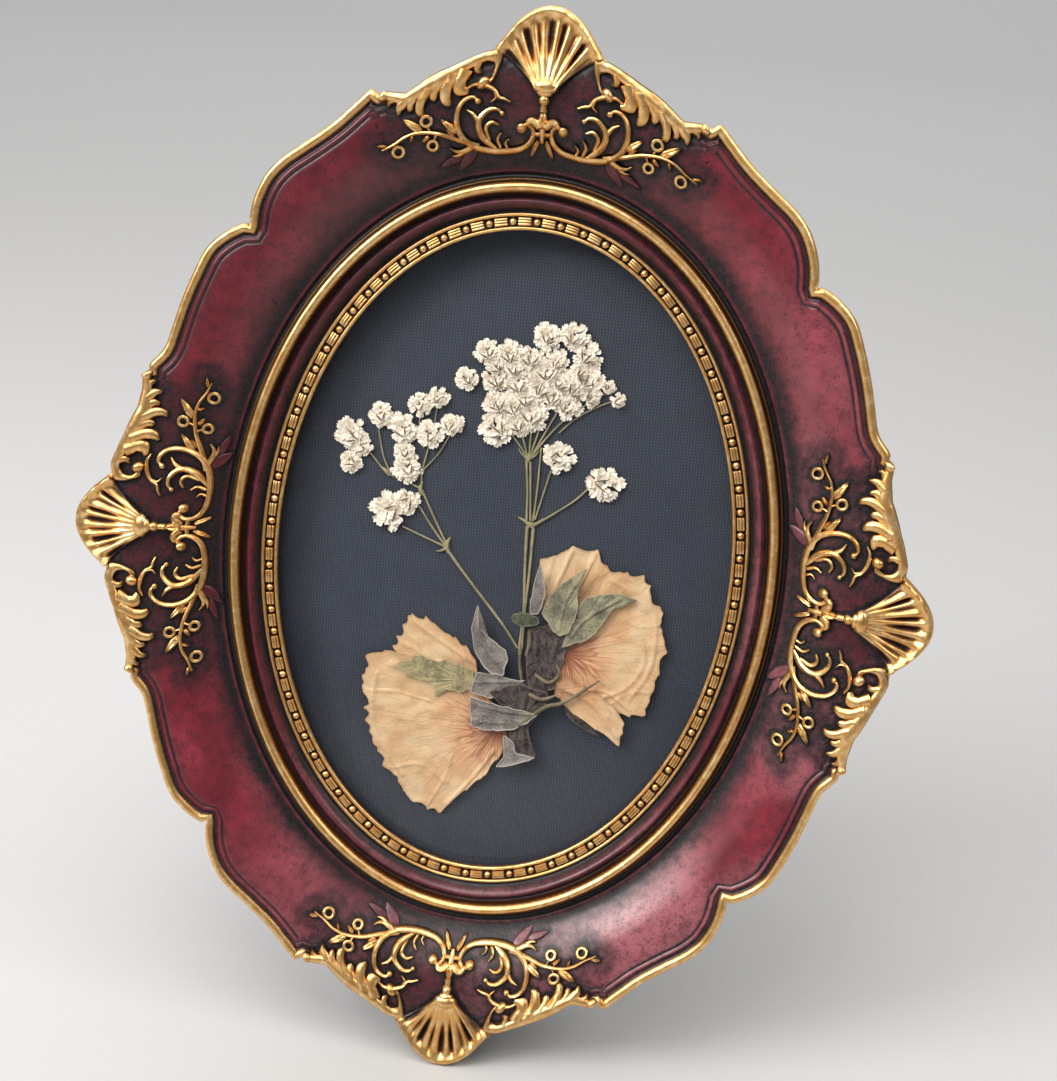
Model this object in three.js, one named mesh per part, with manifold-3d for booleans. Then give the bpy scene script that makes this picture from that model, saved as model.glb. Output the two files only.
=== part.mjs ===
// Oval pressed flower frame, in millimetres, +Z up, facing -Y. It leans back on the flattened edge of its
// lowest shell and on an easel strut. Face coordinates, used for nearly everything: u to the right, v up
// along the face and w towards the viewer, with the origin in the middle of the oval and w = 0 at the
// crest of the gilt ring.
import * as THREE from "three";
import { mergeVertices } from "three/addons/utils/BufferGeometryUtils.js";
import Module from "manifold-3d";

// ---- driving dimensions ------------------------------------------------------------------------------
const LEAN_DEG = 15; // the face leans back from upright
const STRUT_OPEN_DEG = 30; // the strut stands away from the backing board
const SIGHT_U = 59; // half axes of the oval sight edge
const SIGHT_V = 84.1;
const RING_OFFSET = 10.3; // sight edge to the crest of the gilt ring
const REBATE_OFFSET = 5; // sight edge to the wall of the rebate
const LIP_FRONT_W = -5.4; // front and back of the thin lip at the sight edge
const LIP_BACK_W = -7;
const BACK_W = -17.5; // the flat back of the casting
const BACK_BAND = 9; // width of that flat
const RIM_WALL_W = -4.5; // foot of the outer wall
const GAP = 0.3; // air between pieces that touch
const GLASS_THICKNESS = 1.9;
const CARD_FRONT_W = -13;
const CARD_THICKNESS = 1;
const BOARD_THICKNESS = 2.9;
const FOOT_TRIM = 4; // how much of the lowest shell's rim the floor facet takes, at the wall's foot
const CLUSTER_BASE = 7.4; // gilt ring crest to the line that each ornament grows from
const RELIEF = 1.5; // height of the scrollwork over the moulding
const HINGE_V = 35; // the strut's hinge on the backing board
const PIN_RADIUS = 1;
const KNUCKLE_RADIUS = 2.4;
const STRUT_THICKNESS = 3;
const STRUT_TOP_HALF = 14;
const STRUT_FOOT_HALF = 24;
const PETAL = 0.35; // thickness of a pressed petal or sepal
const STEM = 0.5; // thickness and half of the width of a pressed stem

const lean = THREE.MathUtils.degToRad(LEAN_DEG);
const ringU = SIGHT_U + RING_OFFSET - 0.3;
const ringV = SIGHT_V + RING_OFFSET + 0.3;
const glassFrontW = LIP_BACK_W - GAP;
const boardFrontW = CARD_FRONT_W - CARD_THICKNESS - GAP;
const boardBackW = boardFrontW - BOARD_THICKNESS;

const wasm = await Module();
wasm.setup();

// ---- solids from vertices ----------------------------------------------------------------------------
function toSolid(geometry) {
  const plain = geometry.index ? geometry.toNonIndexed() : geometry.clone();
  plain.deleteAttribute("normal");
  plain.deleteAttribute("uv");
  const merged = mergeVertices(plain, 1e-4);
  return new wasm.Manifold(
    new wasm.Mesh({
      numProp: 3,
      vertProperties: merged.attributes.position.array,
      triVerts: new Uint32Array(merged.index.array),
    }),
  );
}

function toGeometry(solid) {
  const mesh = solid.getMesh();
  const positions = new Float32Array(mesh.numVert * 3);
  for (let i = 0; i < mesh.numVert; i++) {
    positions.set(mesh.vertProperties.subarray(i * mesh.numProp, i * mesh.numProp + 3), i * 3);
  }
  const geometry = new THREE.BufferGeometry();
  geometry.setAttribute("position", new THREE.BufferAttribute(positions, 3));
  geometry.setIndex(new THREE.BufferAttribute(new Uint32Array(mesh.triVerts), 1));
  return geometry;
}

function fromTriangles(vertices, triangles) {
  const geometry = new THREE.BufferGeometry();
  geometry.setAttribute("position", new THREE.BufferAttribute(new Float32Array(vertices.flat()), 3));
  geometry.setIndex(triangles.flat());
  return geometry;
}

function joined(solids) {
  return solids.reduce((whole, next) => whole.add(next));
}

// A closed skin over sections that all have the same number of points; the sections themselves are closed.
function skin(sections, closedAround) {
  const count = sections[0].length;
  const triangles = [];
  const last = closedAround ? sections.length : sections.length - 1;
  for (let i = 0; i < last; i++) {
    const here = i * count;
    const there = ((i + 1) % sections.length) * count;
    for (let j = 0; j < count; j++) {
      const k = (j + 1) % count;
      triangles.push([here + j, there + j, there + k], [here + j, there + k, here + k]);
    }
  }
  if (!closedAround) {
    const end = (sections.length - 1) * count;
    for (let j = 1; j < count - 1; j++) {
      triangles.push([0, j, j + 1], [end, end + j + 1, end + j]);
    }
  }
  return fromTriangles(sections.flat(), triangles);
}

// A flat plate with the given outline, from w = back to w = front. The back outline may differ.
function plate(outline, back, front, backOutline = outline) {
  const shape = outline.map(([u, v]) => new THREE.Vector2(u, v));
  const rear = backOutline.map(([u, v]) => new THREE.Vector2(u, v));
  if (THREE.ShapeUtils.isClockWise(shape)) {
    shape.reverse();
    rear.reverse();
  }
  const count = shape.length;
  const caps = THREE.ShapeUtils.triangulateShape(shape, []);
  const triangles = [];
  for (const [a, b, c] of caps) {
    triangles.push([count + a, count + b, count + c], [a, c, b]);
  }
  for (let j = 0; j < count; j++) {
    const k = (j + 1) % count;
    triangles.push([j, k, count + k], [j, count + k, count + j]);
  }
  const low = rear.map((p) => [p.x, p.y, back]);
  const high = shape.map((p) => [p.x, p.y, front]);
  return fromTriangles([...low, ...high], triangles);
}

function ovalOutline(halfU, halfV, count) {
  return Array.from({ length: count }, (_, i) => {
    const turn = (i / count) * 2 * Math.PI;
    return [halfU * Math.cos(turn), halfV * Math.sin(turn)];
  });
}

// ---- the casting's plan ------------------------------------------------------------------------------
// The outline of one quarter, from the tip of the right shell to the tip of the top shell.
const rightShellEdge = [
  [108.5, 0], [107.4, 4.6], [104.2, 9], [100.2, 12.2],
];
const rightAcanthusEdge = [
  [99.7, 17], [94.2, 28.4], [93.2, 38.6],
];
const lowerLobe = [
  [91.9, 40.2], [87.6, 48.6], [84.4, 59.6], [79.6, 70.6], [70.8, 77.5],
];
const upperLobe = [
  [69.3, 78.4], [68, 86], [61.4, 95.4], [50, 104.4], [41.6, 112.2],
];
const topAcanthusEdge = [
  [39.4, 111.6], [32, 112.8], [17.5, 122.3],
];
const topShellEdge = [[13, 124.2], [9.4, 129.4], [4.8, 133.7], [0, 135]];
const quarterOutline = [
  ...rightShellEdge, ...rightAcanthusEdge, ...lowerLobe, ...upperLobe, ...topAcanthusEdge, ...topShellEdge,
];

function fullOutline() {
  const right = quarterOutline;
  const left = right.slice(0, -1).reverse().map(([u, v]) => [-u, v]);
  const upper = [...right, ...left];
  const lower = upper.slice(1, -1).reverse().map(([u, v]) => [u, -v]);
  return [...upper, ...lower];
}

// The sight oval's turn at which its normal passes through (u, v), and the distance along that normal.
function ovalFoot(u, v) {
  let turn = Math.atan2(v * SIGHT_U, u * SIGHT_V);
  for (let step = 0; step < 12; step++) {
    const c = Math.cos(turn);
    const s = Math.sin(turn);
    const slope = (SIGHT_U ** 2 - SIGHT_V ** 2) * s * c - u * SIGHT_U * s + v * SIGHT_V * c;
    const bend = (SIGHT_U ** 2 - SIGHT_V ** 2) * (c * c - s * s) - u * SIGHT_U * c - v * SIGHT_V * s;
    turn -= slope / bend;
  }
  const [footU, footV] = [SIGHT_U * Math.cos(turn), SIGHT_V * Math.sin(turn)];
  return { turn, offset: Math.hypot(u - footU, v - footV) };
}

function ovalPoint(turn, offset) {
  const normal = new THREE.Vector2(Math.cos(turn) / SIGHT_U, Math.sin(turn) / SIGHT_V).normalize();
  return [SIGHT_U * Math.cos(turn) + normal.x * offset, SIGHT_V * Math.sin(turn) + normal.y * offset];
}

// ---- the casting's section ---------------------------------------------------------------------------
// Offsets from the sight edge and heights w, from the sight edge out over the gilt ring.
const innerSection = [
  [0, LIP_FRONT_W], [4.2, -4.7], [7, -2.6], [8.8, -2.7], [9.6, -0.3], [11, -0.3], [12.3, -3.2],
];
// Heights of the broad scoop over the distance outside the gilt ring's crest.
const scoopHeights = [
  [4.6, -2.4], [6, -1.7], [8, 0], [10, 1.7], [12, 3.2], [14, 4.5], [16, 5.4], [18, 6.1], [20, 6.6],
  [22, 7], [25, 7.4], [30, 8], [42, 9],
];

function scoop(distance) {
  if (distance <= scoopHeights[0][0]) return scoopHeights[0][1];
  for (let i = 1; i < scoopHeights.length; i++) {
    const [x0, y0] = scoopHeights[i - 1];
    const [x1, y1] = scoopHeights[i];
    if (distance <= x1) return y0 + ((distance - x0) / (x1 - x0)) * (y1 - y0);
  }
  return scoopHeights.at(-1)[1];
}

function surfaceW(u, v) {
  return scoop(ovalFoot(u, v).offset - RING_OFFSET);
}

const RIM_BAND = 3.8; // outer edge in to the groove behind the gilt rim
const RIM_CREST = 1.5;
const RIM_RISE = 0.9;

function castingSection(rimOffset) {
  const groove = rimOffset - RIM_BAND;
  const scoopStart = RING_OFFSET + 5.2;
  const points = innerSection.map((p) => [...p]);
  for (const share of [0, 0.4]) {
    const offset = scoopStart + share * (groove - scoopStart);
    points.push([offset, scoop(offset - RING_OFFSET)]);
  }
  const edgeHeight = scoop(groove - RING_OFFSET);
  points.push([groove, edgeHeight - 0.2]);
  points.push([rimOffset - RIM_CREST, edgeHeight + RIM_RISE]);
  points.push([rimOffset, edgeHeight - 0.9]);
  points.push([rimOffset - 0.6, RIM_WALL_W]);
  points.push([REBATE_OFFSET + BACK_BAND, BACK_W]);
  points.push([REBATE_OFFSET, BACK_W]);
  points.push([REBATE_OFFSET, LIP_BACK_W]);
  points.push([0, LIP_BACK_W]);
  return points;
}

function castingBody() {
  const sections = fullOutline().map(([u, v]) => {
    const { turn, offset } = ovalFoot(u, v);
    return castingSection(offset).map(([out, w]) => [...ovalPoint(turn, out), w]);
  });
  return outward(skin(sections, true));
}

// ---- ornaments ---------------------------------------------------------------------------------------
// Each ornament is drawn once on its right half, as (along, out): along the rim from the ornament's middle
// line and out from the line that it grows from. SPREAD scales "out" to the moulding's slope.
const SPREAD = 0.93;
const TOP_BEND = 0.0025; // the top and bottom ornaments follow the oval's tighter curve
const ORNAMENTS = {
  right: ([along, out]) => [ringU + CLUSTER_BASE + out * SPREAD, along],
  left: ([along, out]) => [-ringU - CLUSTER_BASE - out * SPREAD, along],
  top: ([along, out]) => [along, ringV + CLUSTER_BASE + out * SPREAD - TOP_BEND * along ** 2],
  bottom: ([along, out]) => [along, -ringV - CLUSTER_BASE - out * SPREAD + TOP_BEND * along ** 2],
};

// Scrolls: points of the centre line, then the widths at its start, middle and end.
const scrolls = [
  {
    name: "main C-scroll",
    points: [[4.6, 6], [2.6, 3], [7.6, -0.2], [15.6, 0.4], [20.4, 6], [16.6, 12.2]],
    widths: [1.3, 1.9, 1.2],
  },
  { name: "inner acanthus", points: [[11.6, 0.4], [15, 6], [10.4, 9.2]], widths: [1.4, 2, 1.1] },
  { name: "tendril", points: [[18.6, 14.6], [8.4, 12]], widths: [1.2, 1.2, 1] },
  { name: "sprig stem", points: [[16, 1.4], [27, 3.8], [37, 0]], widths: [1.6, 1.3, 0.9] },
];
// Leaves: root, tip and width.
const leaves = [
  { root: [20, 4], tip: [24.2, 7.2], width: 2.2 },
  { root: [27.6, 3.6], tip: [32.4, 7], width: 3 },
];
const balls = [
  { centre: [5, 5.2], radius: 1.5 },
  { centre: [25.6, 6.6], radius: 1.7 },
];
// Acanthus along the rim: distances in from the outline at each place along it.
const rimScroll = { points: [[13.4, 5.2], [12.8, 1.8], [18.4, 1.4]], widths: [1.6, 2.4, 1.6] };
const rimFingers = [
  { root: [22, 1.6], tip: [21.4, 10.6], width: 4.4 },
  { root: [29.5, 1.6], tip: [28.6, 7.4], width: 4.6 },
];

function mirroredAlong([along, out]) {
  return [-along, out];
}

// A ridge of triangular section that follows the moulding, sunk a little into it.
const SUNK = 0.7;
function ridge(line, widths, height) {
  const stations = line.length;
  const sections = line.map(([u, v], i) => {
    const [beforeU, beforeV] = line[Math.max(i - 1, 0)];
    const [afterU, afterV] = line[Math.min(i + 1, stations - 1)];
    const side = new THREE.Vector2(beforeV - afterV, afterU - beforeU).normalize();
    const share = (2 * i) / (stations - 1);
    const width = share < 1
      ? THREE.MathUtils.lerp(widths[0], widths[1], share)
      : THREE.MathUtils.lerp(widths[1], widths[2], share - 1);
    const left = [u + (side.x * width) / 2, v + (side.y * width) / 2];
    const right = [u - (side.x * width) / 2, v - (side.y * width) / 2];
    return [
      [...left, surfaceW(...left) - SUNK],
      [u, v, surfaceW(u, v) + height],
      [...right, surfaceW(...right) - SUNK],
    ];
  });
  return outward(skin(sections, false));
}

// The solid, turned the right way round where a mirrored drawing has turned it inside out.
function outward(geometry) {
  const solid = toSolid(geometry);
  if (solid.volume() > 0) return solid;
  const index = geometry.index.array;
  for (let i = 0; i < index.length; i += 3) [index[i + 1], index[i + 2]] = [index[i + 2], index[i + 1]];
  return toSolid(geometry);
}

// A low pyramid over a kite-shaped leaf.
function leafSolid(root, tip, width, height) {
  const along = new THREE.Vector2(tip[0] - root[0], tip[1] - root[1]);
  const side = new THREE.Vector2(-along.y, along.x).normalize().multiplyScalar(width / 2);
  const middle = [root[0] + along.x * 0.45, root[1] + along.y * 0.45];
  const plan = [root, [middle[0] - side.x, middle[1] - side.y], tip, [middle[0] + side.x, middle[1] + side.y]];
  const base = plan.map(([u, v]) => [u, v, surfaceW(u, v) - SUNK]);
  const top = [...middle, surfaceW(...middle) + height];
  return outward(fromTriangles([...base, top], [[0, 2, 1], [0, 3, 2], [0, 1, 4], [1, 2, 4], [2, 3, 4], [3, 0, 4]]));
}

// A faceted boss: a ring below the surface, a smaller ring above it and a flat top.
function boss([u, v], radius, height, sides = 5) {
  const rings = [[1.15, -SUNK], [0.6, height]].map(([share, rise]) =>
    Array.from({ length: sides }, (_, i) => {
      const turn = (i / sides) * 2 * Math.PI;
      const at = [u + radius * share * Math.cos(turn), v + radius * share * Math.sin(turn)];
      return [...at, surfaceW(u, v) + rise];
    }),
  );
  return outward(skin(rings, false));
}

// The scallop shell: ribs that fan out from the hinge block to a rounded rim.
const SHELL = { hingeOut: 21.2, hingeHalf: 3.2, hingeW: 9.6, ribs: 6, rimW: 10.6, valley: 1.1, sinkTo: 3.5 };
function shellSolid(place, edge) {
  const cuts = SHELL.ribs * 2;
  const rimLine = new THREE.CatmullRomCurve3(edge.map(([along, out]) => new THREE.Vector3(along, out, 0)));
  const rays = Array.from({ length: cuts + 1 }, (_, i) => {
    const share = i / cuts;
    const rim = rimLine.getPointAt(share);
    const hinge = [THREE.MathUtils.lerp(-SHELL.hingeHalf, SHELL.hingeHalf, share), SHELL.hingeOut];
    const depth = i % 2 === 0 && i > 0 && i < cuts ? SHELL.valley : 0;
    const sweep = Math.abs(2 * share - 1) ** 3 * 1.6;
    return [0, 0.5, 1].map((reach) => {
      const pinch = Math.sin(reach * Math.PI) * sweep * Math.sign(share - 0.5);
      const along = THREE.MathUtils.lerp(hinge[0], rim.x, reach) - pinch;
      const out = THREE.MathUtils.lerp(hinge[1], rim.y, reach);
      const w = THREE.MathUtils.lerp(SHELL.hingeW, SHELL.rimW, reach) - depth * reach;
      return [along, out, w];
    });
  });
  const triangles = [];
  const across = 3;
  const under = rays.length * across;
  for (let i = 0; i < cuts; i++) {
    for (let j = 0; j < across - 1; j++) {
      const a = i * across + j;
      triangles.push([a, a + 1, a + across + 1], [a, a + across + 1, a + across]);
    }
  }
  const boundary = [
    ...Array.from({ length: across }, (_, j) => j),
    ...Array.from({ length: cuts - 1 }, (_, i) => (i + 1) * across + across - 1),
    ...Array.from({ length: across }, (_, j) => cuts * across + across - 1 - j),
    ...Array.from({ length: cuts - 1 }, (_, i) => (cuts - 1 - i) * across),
  ];
  const top = rays.flat();
  const low = boundary.map((index) => [top[index][0], top[index][1], SHELL.sinkTo]);
  const centre = [0, (SHELL.hingeOut + 37) / 2, SHELL.sinkTo];
  boundary.forEach((index, i) => {
    const next = (i + 1) % boundary.length;
    triangles.push([index, under + i, under + next], [index, under + next, boundary[next]]);
    triangles.push([under + i, under + boundary.length, under + next]);
  });
  const vertices = [...top, ...low, centre].map(([along, out, w]) => [...place([along, out]), w]);
  return outward(fromTriangles(vertices, triangles));
}

function ornament(name) {
  const place = ORNAMENTS[name];
  const straight = {
    right: (p) => [ringU + p[1], p[0]],
    left: (p) => [-ringU - p[1], p[0]],
    top: (p) => [p[0], ringV + p[1]],
    bottom: (p) => [p[0], -ringV - p[1]],
  }[name];
  const sideways = name === "right" || name === "left";
  const half = sideways
    ? [...rightShellEdge, ...rightAcanthusEdge].map(([u, v]) => [v, u - ringU])
    : [...topAcanthusEdge, ...topShellEdge].reverse().map(([u, v]) => [u, v - ringV]);
  const rimOut = (along) => {
    const at = Math.abs(along);
    const next = Math.max(1, half.findIndex(([x]) => x >= at));
    const [x0, y0] = half[next - 1];
    const [x1, y1] = half[next];
    return y0 + ((at - x0) / (x1 - x0)) * (y1 - y0);
  };
  const nearRim = ([along, depth]) => straight([along, rimOut(along) - depth]);
  const solids = [];
  for (const mirror of [(p) => p, mirroredAlong]) {
    for (const { points, widths } of scrolls) {
      solids.push(ridge(points.map((p) => place(mirror(p))), widths, RELIEF));
    }
    for (const { root, tip, width } of leaves) {
      solids.push(leafSolid(place(mirror(root)), place(mirror(tip)), width, RELIEF * 0.8));
    }
    for (const { centre, radius } of balls) {
      solids.push(boss(place(mirror(centre)), radius, RELIEF));
    }
    solids.push(ridge(rimScroll.points.map((p) => nearRim(mirror(p))), rimScroll.widths, 2));
    for (const { root, tip, width } of rimFingers) {
      solids.push(leafSolid(nearRim(mirror(root)), nearRim(mirror(tip)), width, 1.7));
    }
  }
  solids.push(ridge([place([0, 5.4]), place([0, 9]), place([0, 14.8])], [3.4, 2.8, 3.6], 3));
  solids.push(ridge([place([-4.4, 8.4]), place([0, 7]), place([4.4, 8.4])], [2, 3.4, 2], 2.2));
  const inset = half.slice(0, 4).map(([along, out]) => [along * 0.94, out - 0.7]);
  const edge = [...inset.slice(1).reverse().map(mirroredAlong), ...inset];
  solids.push(shellSolid(straight, edge));
  return joined(solids);
}

// ---- frame -------------------------------------------------------------------------------------------
const TAB = { half: 4, thickness: 0.6, legDepth: 4, legOffset: 9.4, reach: 6.4 };
const TAB_TURNS = [38, 142, 218, 322];

function boxSolid(sizeU, sizeV, sizeW, turn, centre) {
  const box = new THREE.BoxGeometry(sizeU, sizeV, sizeW);
  box.rotateZ(turn);
  box.translate(...centre);
  return toSolid(box);
}

// Where a tab stands: the direction of its plate, and the centre of its bent leg.
function tabPlace(degrees) {
  const turn = THREE.MathUtils.degToRad(degrees);
  const [u0, v0] = ovalPoint(turn, 0);
  const [u1, v1] = ovalPoint(turn, 1);
  return { direction: Math.atan2(v1 - v0, u1 - u0), leg: ovalPoint(turn, TAB.legOffset) };
}

// The plane of the floor in face coordinates: v cos(lean) + w sin(lean) = floorLevel.
const floorLevel = -(135 - FOOT_TRIM) * Math.cos(lean) + RIM_WALL_W * Math.sin(lean);

function belowFloor() {
  const box = new THREE.BoxGeometry(400, 60, 400);
  box.translate(0, floorLevel - 30, 0);
  box.rotateX(lean);
  return toSolid(box);
}

function frameGeometry() {
  let casting = castingBody();
  casting = joined([casting, ...Object.keys(ORNAMENTS).map(ornament)]);
  for (const degrees of TAB_TURNS) {
    const { direction, leg } = tabPlace(degrees);
    const slot = [TAB.thickness + 2 * GAP, 2 * TAB.half + 2 * GAP, 2 * (TAB.legDepth + GAP)];
    casting = casting.subtract(boxSolid(...slot, direction, [...leg, BACK_W]));
  }
  return toGeometry(casting.subtract(belowFloor()));
}

function tabGeometry(degrees) {
  const { direction, leg } = tabPlace(degrees);
  const front = BACK_W - GAP;
  const middle = front - TAB.thickness / 2;
  const legBottom = BACK_W + TAB.legDepth;
  const legHeight = legBottom - (front - TAB.thickness);
  const legSolid = boxSolid(TAB.thickness, 2 * TAB.half, legHeight, direction, [
    ...leg, legBottom - legHeight / 2,
  ]);
  const shift = TAB.reach / 2;
  const centre = [leg[0] - Math.cos(direction) * shift, leg[1] - Math.sin(direction) * shift, middle];
  const top = boxSolid(TAB.reach + TAB.thickness, 2 * TAB.half, TAB.thickness, direction, centre);
  return toGeometry(legSolid.add(top));
}

// ---- back --------------------------------------------------------------------------------------------
const OVAL_SIDES = 40;
function ovalPlate(margin, back, front) {
  const inset = REBATE_OFFSET - margin;
  return plate(ovalOutline(SIGHT_U + inset, SIGHT_V + inset, OVAL_SIDES), back, front);
}

// Hinge: the bracket's two knuckles and the leaf's one turn on a pin that runs across the board.
const HINGE = { axisW: boardBackW - GAP - KNUCKLE_RADIUS, plate: 0.8, half: 12, length: 14, leaf: 0.6 };
const ROUND_SIDES = 8;
const KNUCKLE_SPLIT = 5; // half length of the leaf's knuckle

function knuckle(from, to, radius, bore) {
  const profile = [[bore, from], [radius, from], [radius, to], [bore, to], [bore, from]];
  const lathe = new THREE.LatheGeometry(profile.map(([r, x]) => new THREE.Vector2(r, x)), ROUND_SIDES);
  lathe.rotateZ(-Math.PI / 2);
  return lathe;
}

function bracketGeometry() {
  const bore = PIN_RADIUS + GAP;
  const front = boardBackW - GAP;
  const solids = [
    boxSolid(2 * HINGE.half, HINGE.length, HINGE.plate, 0, [0, HINGE.length / 2, front - HINGE.plate / 2]),
  ];
  for (const side of [-1, 1]) {
    const [from, to] = [KNUCKLE_SPLIT + GAP, HINGE.half].map((x) => x * side).sort((a, b) => a - b);
    solids.push(toSolid(knuckle(from, to, KNUCKLE_RADIUS, bore).translate(0, 0, HINGE.axisW)));
  }
  const clear = new THREE.CylinderGeometry(bore, bore, 3 * HINGE.half, ROUND_SIDES);
  clear.rotateZ(Math.PI / 2);
  clear.translate(0, 0, HINGE.axisW);
  const relief = boxSolid(2 * (KNUCKLE_SPLIT + GAP), 2 * (KNUCKLE_RADIUS + GAP), 8, 0, [0, 0, HINGE.axisW]);
  return toGeometry(joined(solids).subtract(toSolid(clear)).subtract(relief)).translate(0, HINGE_V, 0);
}

function pinGeometry() {
  const pin = new THREE.CylinderGeometry(PIN_RADIUS, PIN_RADIUS, 2 * HINGE.half + 2, ROUND_SIDES);
  return pin.rotateZ(Math.PI / 2).translate(0, HINGE_V, HINGE.axisW);
}

// The strut and its leaf are drawn folded flat, hanging from the hinge axis, and turned open by a group.
function leafGeometry() {
  const back = -STRUT_THICKNESS / 2 - GAP - HINGE.leaf;
  const plateSolid = boxSolid(2 * KNUCKLE_SPLIT, 26, HINGE.leaf, 0, [0, -13, back + HINGE.leaf / 2]);
  const bore = PIN_RADIUS + GAP;
  const clear = new THREE.CylinderGeometry(bore, bore, 3 * HINGE.half, ROUND_SIDES).rotateZ(Math.PI / 2);
  const barrel = toSolid(knuckle(-KNUCKLE_SPLIT, KNUCKLE_SPLIT, KNUCKLE_RADIUS, bore));
  return toGeometry(barrel.add(plateSolid).subtract(toSolid(clear)));
}

function strutGeometry() {
  const tilt = THREE.MathUtils.degToRad(STRUT_OPEN_DEG - LEAN_DEG);
  const hingeHeight = HINGE_V * Math.cos(lean) + HINGE.axisW * Math.sin(lean) - floorLevel;
  const top = -KNUCKLE_RADIUS - 0.8;
  const face = (w) => {
    const foot = -(hingeHeight - w * Math.sin(tilt)) / Math.cos(tilt);
    const outline = [[-STRUT_TOP_HALF, top - 4], [-STRUT_TOP_HALF + 4, top], [STRUT_TOP_HALF - 4, top],
      [STRUT_TOP_HALF, top - 4], [STRUT_FOOT_HALF, foot], [-STRUT_FOOT_HALF, foot]];
    return outline.reverse();
  };
  const half = STRUT_THICKNESS / 2;
  return plate(face(half), -half, half, face(-half));
}

// ---- pressed flowers ---------------------------------------------------------------------------------
// Layers between the card and the glass, counted from the card; a layer is a petal and a gap.
function layerBack(layer) {
  return CARD_FRONT_W + GAP + layer * (PETAL + GAP);
}

function pressed(outline, layer) {
  return plate(outline, layerBack(layer), layerBack(layer) + PETAL);
}

const blooms = {
  rose_left_back_petal: {
    layer: 0,
    material: "petal",
    outline: [[-25.5, -27], [-22.6, -18.8], [-19.2, -19], [-15.3, -21.2], [-9.8, -24], [-6.4, -26.2],
      [-4.2, -29.6], [-6, -36], [-16, -38]],
  },
  rose_left_front_petal: {
    layer: 1,
    material: "petal",
    outline: [[-25.3, -28], [-28.7, -30.1], [-33.3, -31.6], [-34.2, -38.4], [-32.9, -42.9], [-32.2, -47.3],
      [-30.3, -53.4], [-28.1, -56.8], [-25.3, -62.3], [-18.7, -69], [-14.2, -71.6], [-9.2, -72.3],
      [-4.2, -66.2], [0.2, -61.8], [3.6, -57.3], [6, -48.4], [1.5, -41], [-4.2, -36], [-15, -33]],
  },
  rose_left_torn_sepal: {
    layer: 2,
    material: "leaf",
    outline: [[-25.1, -33.4], [-22.6, -30.4], [-19.2, -29.6], [-12, -29.6], [-5.4, -32], [-5, -37.3],
      [-13.1, -39.6], [-15.3, -36.8], [-19.8, -35.7]],
  },
  rose_left_curled_sepal: {
    layer: 3,
    material: "grey_leaf",
    outline: [[-5.1, -13.4], [-4.2, -19], [0.2, -22.3], [3.6, -24.6], [4.4, -27.3], [3.6, -31], [0.8, -31.4],
      [-2.6, -29], [-4.8, -25.1], [-6.1, -19.6]],
  },
  rose_left_middle_sepal: {
    layer: 2,
    material: "grey_leaf",
    outline: [[-4.2, -34.6], [-3.1, -31.6], [9.1, -32], [4.7, -35.7], [1.3, -38], [-4.2, -37.3]],
  },
  rose_left_lower_sepal: {
    layer: 4,
    material: "grey_leaf",
    outline: [[-4.2, -38.4], [3.6, -39.3], [13.6, -40.7], [9.1, -45.1], [3.6, -46.8], [-3.1, -46.2]],
  },
  rose_left_calyx: {
    layer: 3,
    material: "calyx",
    outline: [[0, -36], [9.1, -33.4], [16, -34.6], [14.7, -41], [11.3, -45.1], [13, -49], [14.7, -52.9],
      [9.1, -55.7], [4.7, -56.8], [5.8, -48], [8, -43], [3, -39]],
  },
  rose_right_back_petal: {
    layer: 0,
    material: "petal",
    outline: [[10, 0.4], [15.8, 3.2], [18, 4.9], [24.4, 4.7], [25.8, 2.1], [30.2, -0.7], [32, -8],
      [20, -16], [11, -10]],
  },
  rose_right_front_petal: {
    layer: 1,
    material: "petal",
    outline: [[22, -8], [26, -2.6], [30.2, -0.7], [35.8, 0.4], [38.6, -1.8], [40.8, -6.2], [42.8, -9.6],
      [43.6, -15.1], [46, -19.6], [44.1, -24], [43.3, -29.6], [42.4, -36.8], [38, -37.9], [36.7, -40.7],
      [36.3, -46.2], [31.3, -43.4], [25.8, -40.7], [20.2, -37.3], [18, -34], [16.3, -30.7],
      [18.6, -25.1], [18.2, -18]],
  },
  rose_right_inner_sepal: {
    layer: 3,
    material: "leaf",
    outline: [[9.2, -13.4], [9.1, -6.2], [10.2, -0.1], [12.4, -8.4], [11.4, -13.4]],
  },
  rose_right_upright_sepal: {
    layer: 4,
    material: "leaf",
    outline: [[22.4, 0.4], [20.8, -6.2], [21.1, -11.8], [19.7, -17.3], [15.8, -17.3], [12.6, -12.9],
      [13.6, -8.4], [18, -2.9]],
  },
  rose_right_outer_sepal: {
    layer: 3,
    material: "leaf",
    outline: [[18.6, -21.2], [19.7, -16.2], [21.3, -9.6], [25.8, -6.8], [31.9, -5.3], [36.3, -6.4],
      [32.4, -7.6], [29.1, -11.8], [24.7, -18.4]],
  },
  rose_right_calyx: {
    layer: 2,
    material: "calyx",
    outline: [[9, -18.4], [13, -17], [18.6, -17], [20, -22], [18.4, -29], [17.6, -34], [12, -33.6],
      [9.4, -27]],
  },
  rose_right_receptacle: {
    layer: 4,
    material: "leaf",
    outline: ovalOutline(3.4, 1.7, 12).map(([u, v]) => [u + 7.8, v - 15.7]),
  },
};

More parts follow.
